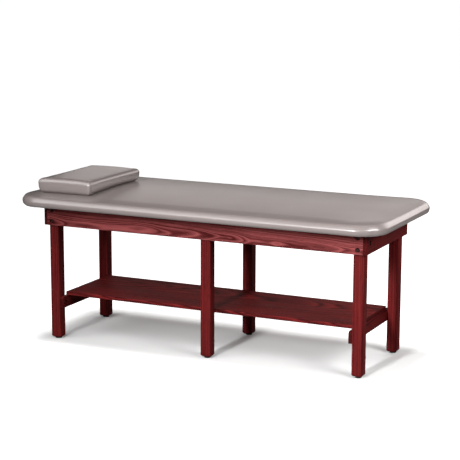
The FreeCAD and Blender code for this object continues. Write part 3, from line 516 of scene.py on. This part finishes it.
def patchPlan(p, inset):
    # Grid over the rounded rectangle, drawn in by the inset: straight in the middle, and in
    # each corner cell the square is eased into a quarter disc, ring by ring. Returns x and y
    # in (row, column) arrays.
    radius = p["cornerRadius"] - inset
    corner = np.linspace(0, 1, p["cornerCells"] + 1)[1:]

    def axis(half, cells):
        # places on the inner rectangle, and how far each lies out in a corner cell
        core = half - inset - radius
        flat = np.full(len(corner), core)
        return (np.concatenate((-flat, np.linspace(-core, core, cells + 1), flat)),
                np.concatenate((-corner[::-1], np.zeros(cells + 1), corner)))

    baseX, outX = axis(p["halfLength"], p["cellsX"])
    baseY, outY = axis(p["halfWidth"], p["cellsY"])
    outX, outY = np.meshgrid(outX, outY)
    farX, farY = np.abs(outX), np.abs(outY)
    reach, small = np.maximum(farX, farY), np.minimum(farX, farY)
    angle = math.pi / 4 * np.divide(small, reach, out=np.zeros_like(small), where=reach > 0)
    along = np.where(farX >= farY, np.cos(angle), np.sin(angle))
    across = np.where(farX >= farY, np.sin(angle), np.cos(angle))
    return (baseX[None] + np.sign(outX) * along * reach * radius,
            baseY[:, None] + np.sign(outY) * across * reach * radius)


def patchRim(rows, columns, cornerCells):
    # indices of a patch's edge, starting where rimLine starts and in its order
    grid = np.arange(rows * columns).reshape(rows, columns)
    ring = np.concatenate((grid[0, :-1], grid[:-1, -1], grid[-1, :0:-1], grid[:0:-1, 0]))
    return np.roll(ring, cornerCells + 1 - columns)


def gridFaces(rows, columns):
    # one quad for each cell of a grid, facing up
    grid = np.arange(rows * columns).reshape(rows, columns)
    quads = np.stack((grid[:-1, :-1], grid[:-1, 1:], grid[1:, 1:], grid[1:, :-1]), -1)
    return quads.reshape(-1, 4)


def chainFaces(rings):
    # quads between each closed ring of indices and the next, facing outwards on the way down
    bands = [np.stack((upper, lower, np.roll(lower, -1), np.roll(upper, -1)), -1)
             for upper, lower in zip(rings, rings[1:])]
    return np.concatenate(bands).tolist()


def lidFaces(ring, points):
    # closes a flat ring with strips from its front half straight across to its back half
    onMiddle = np.argsort(np.abs(points[ring, 1]))[:2]
    right, left = sorted(onMiddle, key=lambda index: -points[ring[index], 0])
    back = np.roll(ring, -right)[:(left - right) % len(ring) + 1][::-1]
    front = np.roll(ring, -left)[:(right - left) % len(ring) + 1]
    strips = np.stack((front[:-1], back[:-1], back[1:], front[1:]), -1)[1:-1]
    tips = np.array(((front[0], back[1], front[1]), (front[-2], back[-2], back[-1])))
    return strips.tolist() + tips.tolist()


# the cloth that both covers are cut from
coverCloth = {"frames": 20, "quality": 6, "mass": 0.4, "stretch": 20.0, "shear": 12.0,
              "bend": 2.0}
tiny = 1e-9  # a length under this counts as none


def inflate(piece, pressure, pinned):
    # blows the cover up from inside with cloth, and gives back where its points went
    c = coverCloth
    group = piece.vertex_groups.new(name="stapled")
    group.add(np.flatnonzero(pinned).tolist(), 1.0, "REPLACE")
    cloth = piece.modifiers.new("cover", "CLOTH")
    settings = cloth.settings
    settings.use_pressure, settings.uniform_pressure_force = True, pressure
    settings.effector_weights.gravity = 0.0
    settings.quality, settings.mass = c["quality"], c["mass"]
    settings.tension_stiffness = settings.compression_stiffness = c["stretch"]
    settings.shear_stiffness, settings.bending_stiffness = c["shear"], c["bend"]
    cloth.collision_settings.use_collision = False
    settings.vertex_group_mass = "stapled"
    scene = bpy.context.scene
    for step in range(1, c["frames"] + 1):
        scene.frame_set(step)
    evaluated = piece.evaluated_get(bpy.context.evaluated_depsgraph_get())
    moved = np.empty(len(piece.data.vertices) * 3)
    evaluated.data.vertices.foreach_get("co", moved)
    piece.modifiers.remove(cloth)
    scene.frame_set(1)
    return moved.reshape(-1, 3)


def capped(rest, moved, limit):
    # each point keeps its direction, and its travel eases towards the limit
    travel = moved - rest
    length = np.linalg.norm(travel, axis=1, keepdims=True)
    eased = limit * np.tanh(length / limit)
    return rest + travel * np.divide(eased, length, out=np.zeros_like(length),
                                     where=length > tiny)


def fillCover(piece, p, points, pinned, lift):
    # the cover starts lower by its slack, is blown up, and travels no further than its cap
    start = points.copy()
    start[:, 2:] -= lift * p["slack"]
    piece.data.vertices.foreach_set("co", start.ravel())
    filled = capped(start, inflate(piece, p["pressure"], pinned), p["cap"])
    piece.data.vertices.foreach_set("co", filled.ravel())
    travel = np.linalg.norm(filled - start, axis=1)[~pinned] * 1000
    print("%s travel, mm: mean %.2f, most %.2f; top %.4f" % (
        piece.name, travel.mean(), travel.max(), filled[:, 2].max()))


def subdivided(piece):
    # one step of subdivision, the same in the view and in the render
    smoothing = piece.modifiers.new("smooth", "SUBSURF")
    smoothing.levels = smoothing.render_levels = 1


# The padded top. Its plan, its deck and the margin stapled under it are the CAD's. The roll
# is drawn here: its radius on the side, the shoulder and the brink, with tilts in degrees.
tablePad = {
    "halfLength": 0.9905, "halfWidth": 0.432, "cornerRadius": 0.150, "deckUnderside": 0.719,
    "deckTop": 0.7372, "crownTop": 0.789, "crown": 0.013, "cover": 0.0015, "margin": 0.038,
    "deckEdge": 0.0136, "tuck": 0.0001, "roll": 0.080, "lowerRoll": 0.022, "lowerInset": 0.013,
    "shoulderRadius": 0.016, "sideRadius": 0.060, "sideTilt": 16.0, "sideSpan": 15.0,
    "brinkRadius": 0.300, "brinkSpan": 8.0, "slopeStep": 0.01,
    "cornerCells": 12, "cellsX": 112, "cellsY": 36, "rollSteps": 16, "lowerSteps": 5,
    "marginSteps": 3, "pinnedRings": 3, "pressure": 12.0, "slack": 0.001, "cap": 0.0012,
    "pleats": 7, "pleatDepth": 0.0022, "pleatFade": 0.5,
    "dartDepth": 0.004, "dartWidth": 0.09, "dartFade": 0.5,
}


def padSection(p):
    # inset and height of the cover's rings, from the margin's inner edge over the roll's top
    widest = p["deckUnderside"] + p["lowerRoll"]
    rollTop = p["crownTop"] - p["crown"]
    under = p["deckUnderside"] - p["cover"]
    inner = np.linspace(p["margin"], p["lowerInset"], p["marginSteps"] + 1)
    section = [(inset, under) for inset in inner]
    for turn in np.radians(np.linspace(-90, 0, p["lowerSteps"] + 1)[1:-1]):
        section.append((p["lowerInset"] * (1 - math.cos(turn)),
                        widest + (widest - under) * math.sin(turn)))
    # above the widest line the radius changes with the tilt of the surface: wide on the side,
    # small on the shoulder, wide again on the brink; the arcs are summed and fitted in
    tilt = (np.arange(p["rollSteps"]) + 0.5) * 90 / p["rollSteps"]
    radius = (p["shoulderRadius"]
              + p["sideRadius"] * np.exp(-((tilt - p["sideTilt"]) / p["sideSpan"]) ** 2)
              + p["brinkRadius"] * np.exp(-((90 - tilt) / p["brinkSpan"]) ** 2))
    inwards = np.append(0, np.cumsum(radius * np.sin(np.radians(tilt))))
    upwards = np.append(0, np.cumsum(radius * np.cos(np.radians(tilt))))
    upper = np.column_stack((inwards / inwards[-1] * p["roll"],
                             widest + upwards / upwards[-1] * (rollTop - widest)))
    return np.concatenate((section, upper))


def crownHeight(p, x, y):
    # height of the top inside the roll: a parabola's rise along each way, the two multiplied
    reach = p["halfWidth"] - p["roll"]
    alongX = np.clip((p["halfLength"] - np.abs(x) - p["roll"]) / reach, 0, 1)
    alongY = np.clip((p["halfWidth"] - np.abs(y) - p["roll"]) / reach, 0, 1)
    risen = (1 - (1 - alongX) ** 2) * (1 - (1 - alongY) ** 2)
    return p["crownTop"] - p["crown"] * (1 - risen)


def gatherDepth(p, turn):
    # how far the gathered cover hangs down under a corner, deepest in the corner's middle
    inCorner = np.abs(np.sin(2 * turn)) ** p["pleatFade"]
    return p["pleatDepth"] * np.abs(np.sin(turn * 2 * p["pleats"])) * inCorner


def shapePadRings(p, section, core, way, points, ringIndex):
    # moves the cover's rings, which stood at one height each, to their crown, dart and gathers
    outer, widestRing = len(section) - 1, p["marginSteps"] + p["lowerSteps"]
    widest = section[widestRing, 1]
    # the roll carries on the crown's slope where the two meet, and loses it at its widest line
    met = core + way * (p["cornerRadius"] - p["roll"])
    inside = met - way * p["slopeStep"]
    slope = (crownHeight(p, *inside.T) - crownHeight(p, *met.T)) / p["slopeStep"]
    for number in range(widestRing, outer):
        inset, height = section[number]
        risen = max(0.0, (height - widest) / (p["crownTop"] - p["crown"] - widest))
        points[ringIndex[number], 2] -= slope * (p["roll"] - inset) * risen
    turn = np.arctan2(way[:, 1], way[:, 0])
    # a dart over the roll at each corner: a groove across it that fades out before the top
    fromMiddle = (turn % (math.pi / 2)) - math.pi / 4
    dart = p["dartDepth"] * np.exp(-(fromMiddle / p["dartWidth"]) ** 2)
    for number in range(p["marginSteps"] + 1, outer):
        rise = (section[number][1] - p["deckUnderside"]) / (p["crownTop"] - p["deckUnderside"])
        fade = math.cos(math.pi / 2 * min(1.0, rise)) ** p["dartFade"]
        points[ringIndex[number], :2] -= way * (dart * fade)[:, None]
    for number in range(1, p["marginSteps"] + 2):
        points[ringIndex[number], 2] -= gatherDepth(p, turn)


def makeTablePad(p):
    # A crowned patch, rings down over the roll and in along the margin, and three hidden rings
    # that turn in over the deck's edge to a lid on the deck, so that the piece is closed.
    core, way = rimLine(p)
    count, section = len(core), padSection(p)
    tucked = p["deckUnderside"] - p["tuck"]
    hidden = ((p["margin"], tucked), (p["deckEdge"], tucked), (p["deckEdge"], p["deckTop"]))
    rings = [np.column_stack((core + way * (p["cornerRadius"] - inset), np.full(count, height)))
             for inset, height in (*section[:-1], *hidden)]
    x, y = patchPlan(p, p["roll"])
    rows, columns = x.shape
    top = np.column_stack((x.ravel(), y.ravel(), crownHeight(p, x, y).ravel()))
    points = np.concatenate([top] + rings)
    ringIndex = [rows * columns + number * count + np.arange(count)
                 for number in range(len(rings))]
    outer = len(section) - 1
    chain = [patchRim(rows, columns, p["cornerCells"]), *ringIndex[outer - 1::-1],
             *ringIndex[outer:]]
    faces = gridFaces(rows, columns).tolist() + chainFaces(chain) + lidFaces(chain[-1], points)
    shapePadRings(p, section, core, way, points, ringIndex)
    piece = meshPiece("tablePad", points, faces, vinyl)
    pinned = np.ones(len(points), bool)
    pinned[:rows * columns] = False
    firstFree = p["marginSteps"] + p["lowerSteps"] + p["pinnedRings"]
    pinned[np.concatenate(ringIndex[firstFree:outer])] = False
    lift = np.clip((points[:, 2:] - p["deckTop"]) / (p["crownTop"] - p["deckTop"]), 0, 1)
    fillCover(piece, p, points, pinned, np.where(pinned[:, None], 0.0, lift))
    piece.data.update()
    subdivided(piece)
    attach(piece, "table")
    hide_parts("top_cover", "top_foam")
    return piece


# The loose pillow: its block, its rolled edges, its corner seams and its place on the top.
# Turns of the lower edge are in degrees, half widths of seam and groove in radians. The
# pad is searched under the pillow, as far as the search reaches and above its low limit.
blockPillow = {
    "centre": (-0.7365, -0.073), "halfLength": 0.156, "halfWidth": 0.264, "foot": 0.7873,
    "thickness": 0.069, "cornerRadius": 0.024, "drawIn": 0.004, "crown": 0.003, "arch": 0.004,
    "roll": 0.020, "rollSteps": 6, "sideSteps": 4, "bulge": 0.027, "lowerInset": 0.022,
    "footTurns": (0, 24, 46, 68, 90), "cornerCells": 4, "cellsX": 32, "cellsY": 58,
    "sharpTop": 0.85, "sharpFoot": 0.15, "seam": 0.0016, "seamHalf": 0.05,
    "seamGroove": 0.0012, "grooveHalf": 0.3, "clearance": 0.0008, "settleFade": 1.5,
    "searchReach": 0.06, "searchLow": 0.765, "neighbours": 4, "softening": 0.0001,
    "pressure": 12.0, "slack": 0.002, "cap": 0.0025,
}
straightWay = 0.999  # a way outwards with a larger share along one axis is on a straight side


def heightUnder(p, pad, points):
    # height of the pad's top under each point: the mean of its nearest mesh points, each
    # weighed by one over its distance
    mesh = np.empty(len(pad.data.vertices) * 3)
    pad.data.vertices.foreach_get("co", mesh)
    mesh = mesh.reshape(-1, 3)
    low, high = points.min(axis=0) - p["searchReach"], points.max(axis=0) + p["searchReach"]
    within = ((mesh[:, :2] > low[:2]) & (mesh[:, :2] < high[:2])).all(axis=1)
    mesh = mesh[within & (mesh[:, 2] > p["searchLow"])]
    away = np.hypot(points[:, None, 0] - mesh[None, :, 0], points[:, None, 1] - mesh[None, :, 1])
    nearest = np.argpartition(away, p["neighbours"], axis=1)[:, :p["neighbours"]]
    weight = 1 / (np.take_along_axis(away, nearest, axis=1) + p["softening"])
    return (mesh[nearest, 2] * weight).sum(axis=1) / weight.sum(axis=1)


def pillowSection(p):
    # inset and height of its rings: a quarter ellipse below, an upright side, and a quarter
    # circle for the rolled upper edge
    rollFoot = p["thickness"] - p["crown"] - p["roll"]
    section = [(p["lowerInset"] * (1 - math.sin(turn)), p["bulge"] * (1 - math.cos(turn)))
               for turn in np.radians(p["footTurns"])]
    section += [(0.0, height) for height in np.linspace(p["bulge"], rollFoot,
                                                        p["sideSteps"] + 1)[1:-1]]
    section += [(p["roll"] * (1 - math.cos(turn)), rollFoot + p["roll"] * math.sin(turn))
                for turn in np.radians(np.linspace(0, 90, p["rollSteps"] + 1))]
    return np.array(section)


def pillowRings(p, section):
    # Each ring is the rim at its inset. Sides draw in, and the ends' upper edge arches, by one
    # less the squared share of the way from a side's middle to its corner. Corners go from
    # round at the foot to nearly square at the top, with a raised seam between two grooves.
    core, way = rimLine(p)
    coreX, coreY = p["halfLength"] - p["cornerRadius"], p["halfWidth"] - p["cornerRadius"]
    rollTop = p["thickness"] - p["crown"]
    onLong = np.abs(way[:, 0]) > straightWay
    straight = np.abs(way).max(axis=1) > straightWay
    share = np.where(onLong, core[:, 1] / coreY, core[:, 0] / coreX)
    pull = np.where(straight, p["drawIn"] * (1 - share ** 2), 0.0)[:, None] * way
    archShare = np.where(straight & ~onLong, 1 - share ** 2, 0.0)
    toSquare = (1 / np.abs(way).max(axis=1) - 1)[:, None]
    fromMiddle = np.abs(np.arctan2(way[:, 1], way[:, 0]) % (math.pi / 2) - math.pi / 4)
    groove = np.where(fromMiddle < p["grooveHalf"], -p["seamGroove"], 0)
    seam = np.where(fromMiddle < p["seamHalf"], p["seam"], groove)
    rings = []
    for inset, height in section:
        sharp = p["sharpFoot"] + (p["sharpTop"] - p["sharpFoot"]) * height / rollTop
        reach = (p["cornerRadius"] - inset) * (1 + toSquare * sharp) + seam[:, None]
        lift = p["arch"] * archShare * height / rollTop
        rings.append(np.column_stack((core + way * reach - pull, height + lift)))
    return rings


def pillowFace(p, inset, height, crown, sharp):
    # The top or bottom: a patch whose corners are pushed towards square, whose sides draw in
    # with the cube of the way out, and which rises to its crown and arches over its ends.
    x, y = patchPlan(p, inset)
    coreX, coreY = p["halfLength"] - p["cornerRadius"], p["halfWidth"] - p["cornerRadius"]
    rollTop = p["thickness"] - p["crown"]
    beyondX, beyondY = np.abs(x) - coreX, np.abs(y) - coreY
    inCorner = (beyondX > tiny) & (beyondY > tiny)
    longer, shorter = np.maximum(beyondX, beyondY), np.minimum(beyondX, beyondY)
    stretch = np.hypot(longer, shorter) / np.where(inCorner, longer, 1.0)
    push = np.where(inCorner, 1 + (stretch - 1) * sharp, 1.0)
    x = np.where(inCorner, np.sign(x) * (coreX + beyondX * push), x)
    y = np.where(inCorner, np.sign(y) * (coreY + beyondY * push), y)
    acrossX = np.clip(np.abs(x) / (p["halfLength"] - inset), 0, 1)
    acrossY = np.clip(np.abs(y) / (p["halfWidth"] - inset), 0, 1)
    x = x - np.sign(x) * p["drawIn"] * acrossX ** 3 * (1 - acrossY ** 2)
    y = y - np.sign(y) * p["drawIn"] * acrossY ** 3 * (1 - acrossX ** 2)
    rise = crown * (1 - acrossX ** 3) * (1 - acrossY ** 4)
    rise = rise + p["arch"] * height / rollTop * acrossY ** 2 * (1 - acrossX ** 2)
    return np.column_stack((x.ravel(), y.ravel(), (height + rise).ravel())), x.shape


def makePillow(p, pad):
    # a top, a bottom and the rings between them, whose foot settles on the pad's crown
    rollTop = p["thickness"] - p["crown"]
    section = pillowSection(p)
    top, (rows, columns) = pillowFace(p, section[-1][0], rollTop, p["crown"], p["sharpTop"])
    bottom, _ = pillowFace(p, section[0][0], 0.0, 0.0, p["sharpFoot"])
    rings = pillowRings(p, section[1:-1])
    points = np.concatenate([top, bottom] + rings)
    points[:, :2] += p["centre"]
    settle = heightUnder(p, pad, points) + p["clearance"] - p["foot"]
    fade = np.clip(1 - points[:, 2] / rollTop, 0, 1) ** p["settleFade"]
    points[:, 2] += p["foot"] + settle * fade
    size, count = rows * columns, len(rings[0])
    ringIndex = [2 * size + number * count + np.arange(count) for number in range(len(rings))]
    rim = patchRim(rows, columns, p["cornerCells"])
    faces = gridFaces(rows, columns).tolist()
    faces += (gridFaces(rows, columns)[:, ::-1] + size).tolist()
    faces += chainFaces([rim, *ringIndex[::-1], rim + size])
    piece = meshPiece("blockPillow", points, faces, vinyl)
    below = np.zeros(len(points), bool)
    below[size:2 * size] = True
    lift = np.clip((points[:, 2:] - p["foot"]) / p["thickness"], 0, 1)
    fillCover(piece, p, points, below, lift)
    piece.data.update()
    subdivided(piece)
    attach(piece, "pillow")
    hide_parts("pillow_cover", "pillow_foam")


# The staples that hold the cover under the deck. Their wire's middle stands proud of it by a
# share of the wire's radius, and the chance turn is in degrees.
coverStaples = {"inset": 0.027, "spacing": 0.030, "width": 0.011, "leg": 0.003, "wire": 0.0006,
                "bend": 0.0012, "sides": 6, "proud": 0.6, "turnSpread": 9.0, "seed": 7}


def stapleWire(p):
    # One staple: circles of a few sides, square to the run, at the points of a flat U.
    # Returns its points, the quads round it and its two end faces.
    half, bend, leg = p["width"] / 2, p["bend"], p["leg"]
    path = np.array(((-half, 0, leg), (-half, 0, bend), (-half + bend, 0, 0),
                     (half - bend, 0, 0), (half, 0, bend), (half, 0, leg)))
    run = np.gradient(path, axis=0)
    run /= np.linalg.norm(run, axis=1, keepdims=True)
    side = np.array((0.0, 1.0, 0.0))
    lift = np.cross(run, side)
    turns = np.radians(np.arange(p["sides"]) * 360 / p["sides"])[:, None]
    circle = np.cos(turns) * side + np.sin(turns) * lift[:, None]
    wire = (path[:, None] + p["wire"] * circle).reshape(-1, 3)
    lanes = np.arange(len(wire)).reshape(len(path), -1)
    around = np.roll(lanes, -1, axis=1)
    quads = np.stack((lanes[:-1], around[:-1], around[1:], lanes[1:]), -1).reshape(-1, 4)
    return wire, quads, (lanes[0, ::-1], lanes[-1])


def makeStaples(p, padSizes, material):
    # staples at even steps round the rim, each turned along it give or take a little, and
    # pressed into the cover, which hangs lower at the corners
    wire, quads, ends = stapleWire(p)
    core, way = rimLine(padSizes)
    rim = core + way * (padSizes["cornerRadius"] - p["inset"])
    closed, outward = np.vstack((rim, rim[:1])), np.vstack((way, way[:1]))
    length = np.concatenate(([0], np.cumsum(np.linalg.norm(np.diff(closed, axis=0), axis=1))))
    count = int(length[-1] / p["spacing"])
    stops = np.linspace(0, length[-1], count, endpoint=False)
    x, y, outX, outY = (np.interp(stops, length, line) for line in (*closed.T, *outward.T))
    turn = np.arctan2(outY, outX)
    height = padSizes["deckUnderside"] - padSizes["cover"] - p["wire"] * p["proud"]
    height = height - gatherDepth(padSizes, turn)
    spread = np.random.default_rng(p["seed"]).normal(0, math.radians(p["turnSpread"]), count)
    angle = turn + math.pi / 2 + spread
    cosine, sine = np.cos(angle)[:, None], np.sin(angle)[:, None]
    points = np.stack((x[:, None] + wire[:, 0] * cosine - wire[:, 1] * sine,
                       y[:, None] + wire[:, 0] * sine + wire[:, 1] * cosine,
                       height[:, None] + wire[:, 2]), -1).reshape(-1, 3)
    first = (np.arange(count) * len(wire))[:, None]
    faces = (quads[None] + first[:, None]).reshape(-1, 4).tolist()
    for end in ends:
        faces += (end + first).tolist()
    piece = meshPiece("coverStaples", points, faces, material)
    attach(piece, "table")


pad = makeTablePad(tablePad)
print("table pad made")
makePillow(blockPillow, pad)
print("pillow made")
makeStaples(coverStaples, tablePad, metals["zincScrew"])
print("staples made")

# The pale ground and surround. For the camera alone the floor glows, hardly inside the
# rectangle of the feet and fully from the glow's reach outside it, and its colour is white.
# All other light meets the darker bounce, so that little of it comes back up.
studio = {"floorHalf": 60.0, "white": 0.72, "cloud": 0.01, "cloudScale": 2.0, "cloudDetail": 2.0,
          "bounce": 0.20, "roughness": 0.9, "specular": 0.1,
          "feetCentre": (0.05, 0.0, 0.0), "feetHalf": (0.92, 0.27, 0.0), "glowReach": 0.22,
          "nearGlow": 0.03, "farGlow": 1.0, "worldLevel": 0.015, "mirrorLevel": 0.02}


def lookedAt(tree):
    # 1 for what the camera sees, also through something clear, and the light path's outputs
    seen = addNode(tree, "ShaderNodeLightPath").outputs
    return maths(tree, "MAXIMUM", seen["Is Camera Ray"], seen["Is Transmission Ray"]), seen


def makeFloor(s):
    # the glow rises with the distance from the feet's rectangle: the length of what is left
    # of a point's distance from its centre, less its half sizes, where that is above zero
    half = s["floorHalf"]
    corners = np.array(((-half, -half, 0), (half, -half, 0), (half, half, 0), (-half, half, 0)))
    material, tree, shader, place = newMaterial("paleFloor", {
        "Roughness": s["roughness"], "Specular IOR Level": s["specular"]})
    direct, _ = lookedAt(tree)
    cloud = noise(tree, place["Object"], s["cloudScale"], s["cloudDetail"])[0]
    shown = mixed(tree, cloud, grey(s["white"]), grey(s["white"] - s["cloud"]))
    feed(tree, shader.inputs["Base Color"], mixed(tree, direct, grey(s["bounce"]), shown))
    centred = vectorMaths(tree, "SUBTRACT", place["Object"], s["feetCentre"])[0]
    mirrored = vectorMaths(tree, "ABSOLUTE", centred, (0, 0, 0))[0]
    beyond = vectorMaths(tree, "SUBTRACT", mirrored, s["feetHalf"])[0]
    outside = vectorMaths(tree, "MAXIMUM", beyond, (0, 0, 0))[0]
    away = vectorMaths(tree, "LENGTH", outside, (0, 0, 0))["Value"]
    level = ranged(tree, away, (0.0, s["glowReach"]), s["nearGlow"], s["farGlow"])
    glow = addNode(tree, "ShaderNodeEmission", {
        "Color": grey(1.0), "Strength": maths(tree, "MULTIPLY", direct, level)})
    both = addNode(tree, "ShaderNodeAddShader", {0: shader.outputs[0], 1: glow.outputs[0]})
    feed(tree, tree.nodes["Material Output"].inputs["Surface"], both.outputs[0])
    floor = meshPiece("studioFloor", corners, [(0, 1, 2, 3)], material)


def makeWorld(s):
    # white where the camera looks, and nearly dark for light and for what gloss mirrors
    world = bpy.data.worlds.new("studio")
    bpy.context.scene.world = world
    world.use_nodes = True
    tree = world.node_tree
    background = tree.nodes["Background"]
    direct, seen = lookedAt(tree)
    dim = addNode(tree, "ShaderNodeMix", {0: seen["Is Glossy Ray"], 2: s["worldLevel"],
                                          3: s["mirrorLevel"]})
    strength = addNode(tree, "ShaderNodeMix", {0: direct, 2: dim.outputs[0], 3: 1.0})
    feed(tree, background.inputs["Strength"], strength.outputs[0])
    background.inputs["Color"].default_value = grey(1.0)


# soft boxes: place, point they face, width and height, watts, spread in degrees, and tint
plainWhite, warmWhite = (1.0, 1.0, 1.0), (1.0, 0.92, 0.89)
softBoxes = {
    "key": dict(place=(-0.5, -12.0, 4.9), target=(0.80, 0.0, 0.5), size=(1.2, 4.6),
                watts=60.0, spread=23.0, tint=plainWhite),
    "back": dict(place=(-1.0, 3.6, 1.65), target=(0.0, 0.0, 0.8), size=(4.0, 0.7),
                 watts=10.5, spread=180.0, tint=warmWhite),
    "backRight": dict(place=(2.4, 3.6, 2.3), target=(0.8, 0.0, 0.8), size=(3.6, 2.4),
                      watts=70.0, spread=180.0, tint=warmWhite),
    "right": dict(place=(3.3, -1.2, 2.2), target=(0.0, -0.1, 0.6), size=(1.6, 1.2),
                  watts=112.0, spread=180.0, tint=plainWhite),
    "frontRoof": dict(place=(-1.0, -2.2, 2.1), target=(-0.1, -0.3, 0.7), size=(3.6, 2.0),
                      watts=80.0, spread=180.0, tint=plainWhite),
}


def makeLights(boxes):
    # each lamp is a rectangle that faces its target, and the camera doesn't see it
    for name, box in boxes.items():
        data = bpy.data.lights.new(name, "AREA")
        data.shape, data.energy = "RECTANGLE", box["watts"]
        data.size, data.size_y = box["size"]
        data.spread, data.color = math.radians(box["spread"]), box["tint"]
        lamp = bpy.data.objects.new(name, data)
        lamp.location = box["place"]
        lamp.visible_camera = False
        towards = Vector(box["target"]) - Vector(box["place"])
        lamp.rotation_euler = towards.to_track_quat("-Z", "Y").to_euler()
        bpy.context.scene.collection.objects.link(lamp)


makeFloor(studio)
makeWorld(studio)
makeLights(softBoxes)
bpy.context.scene.view_settings.view_transform = "Standard"
print("studio made")
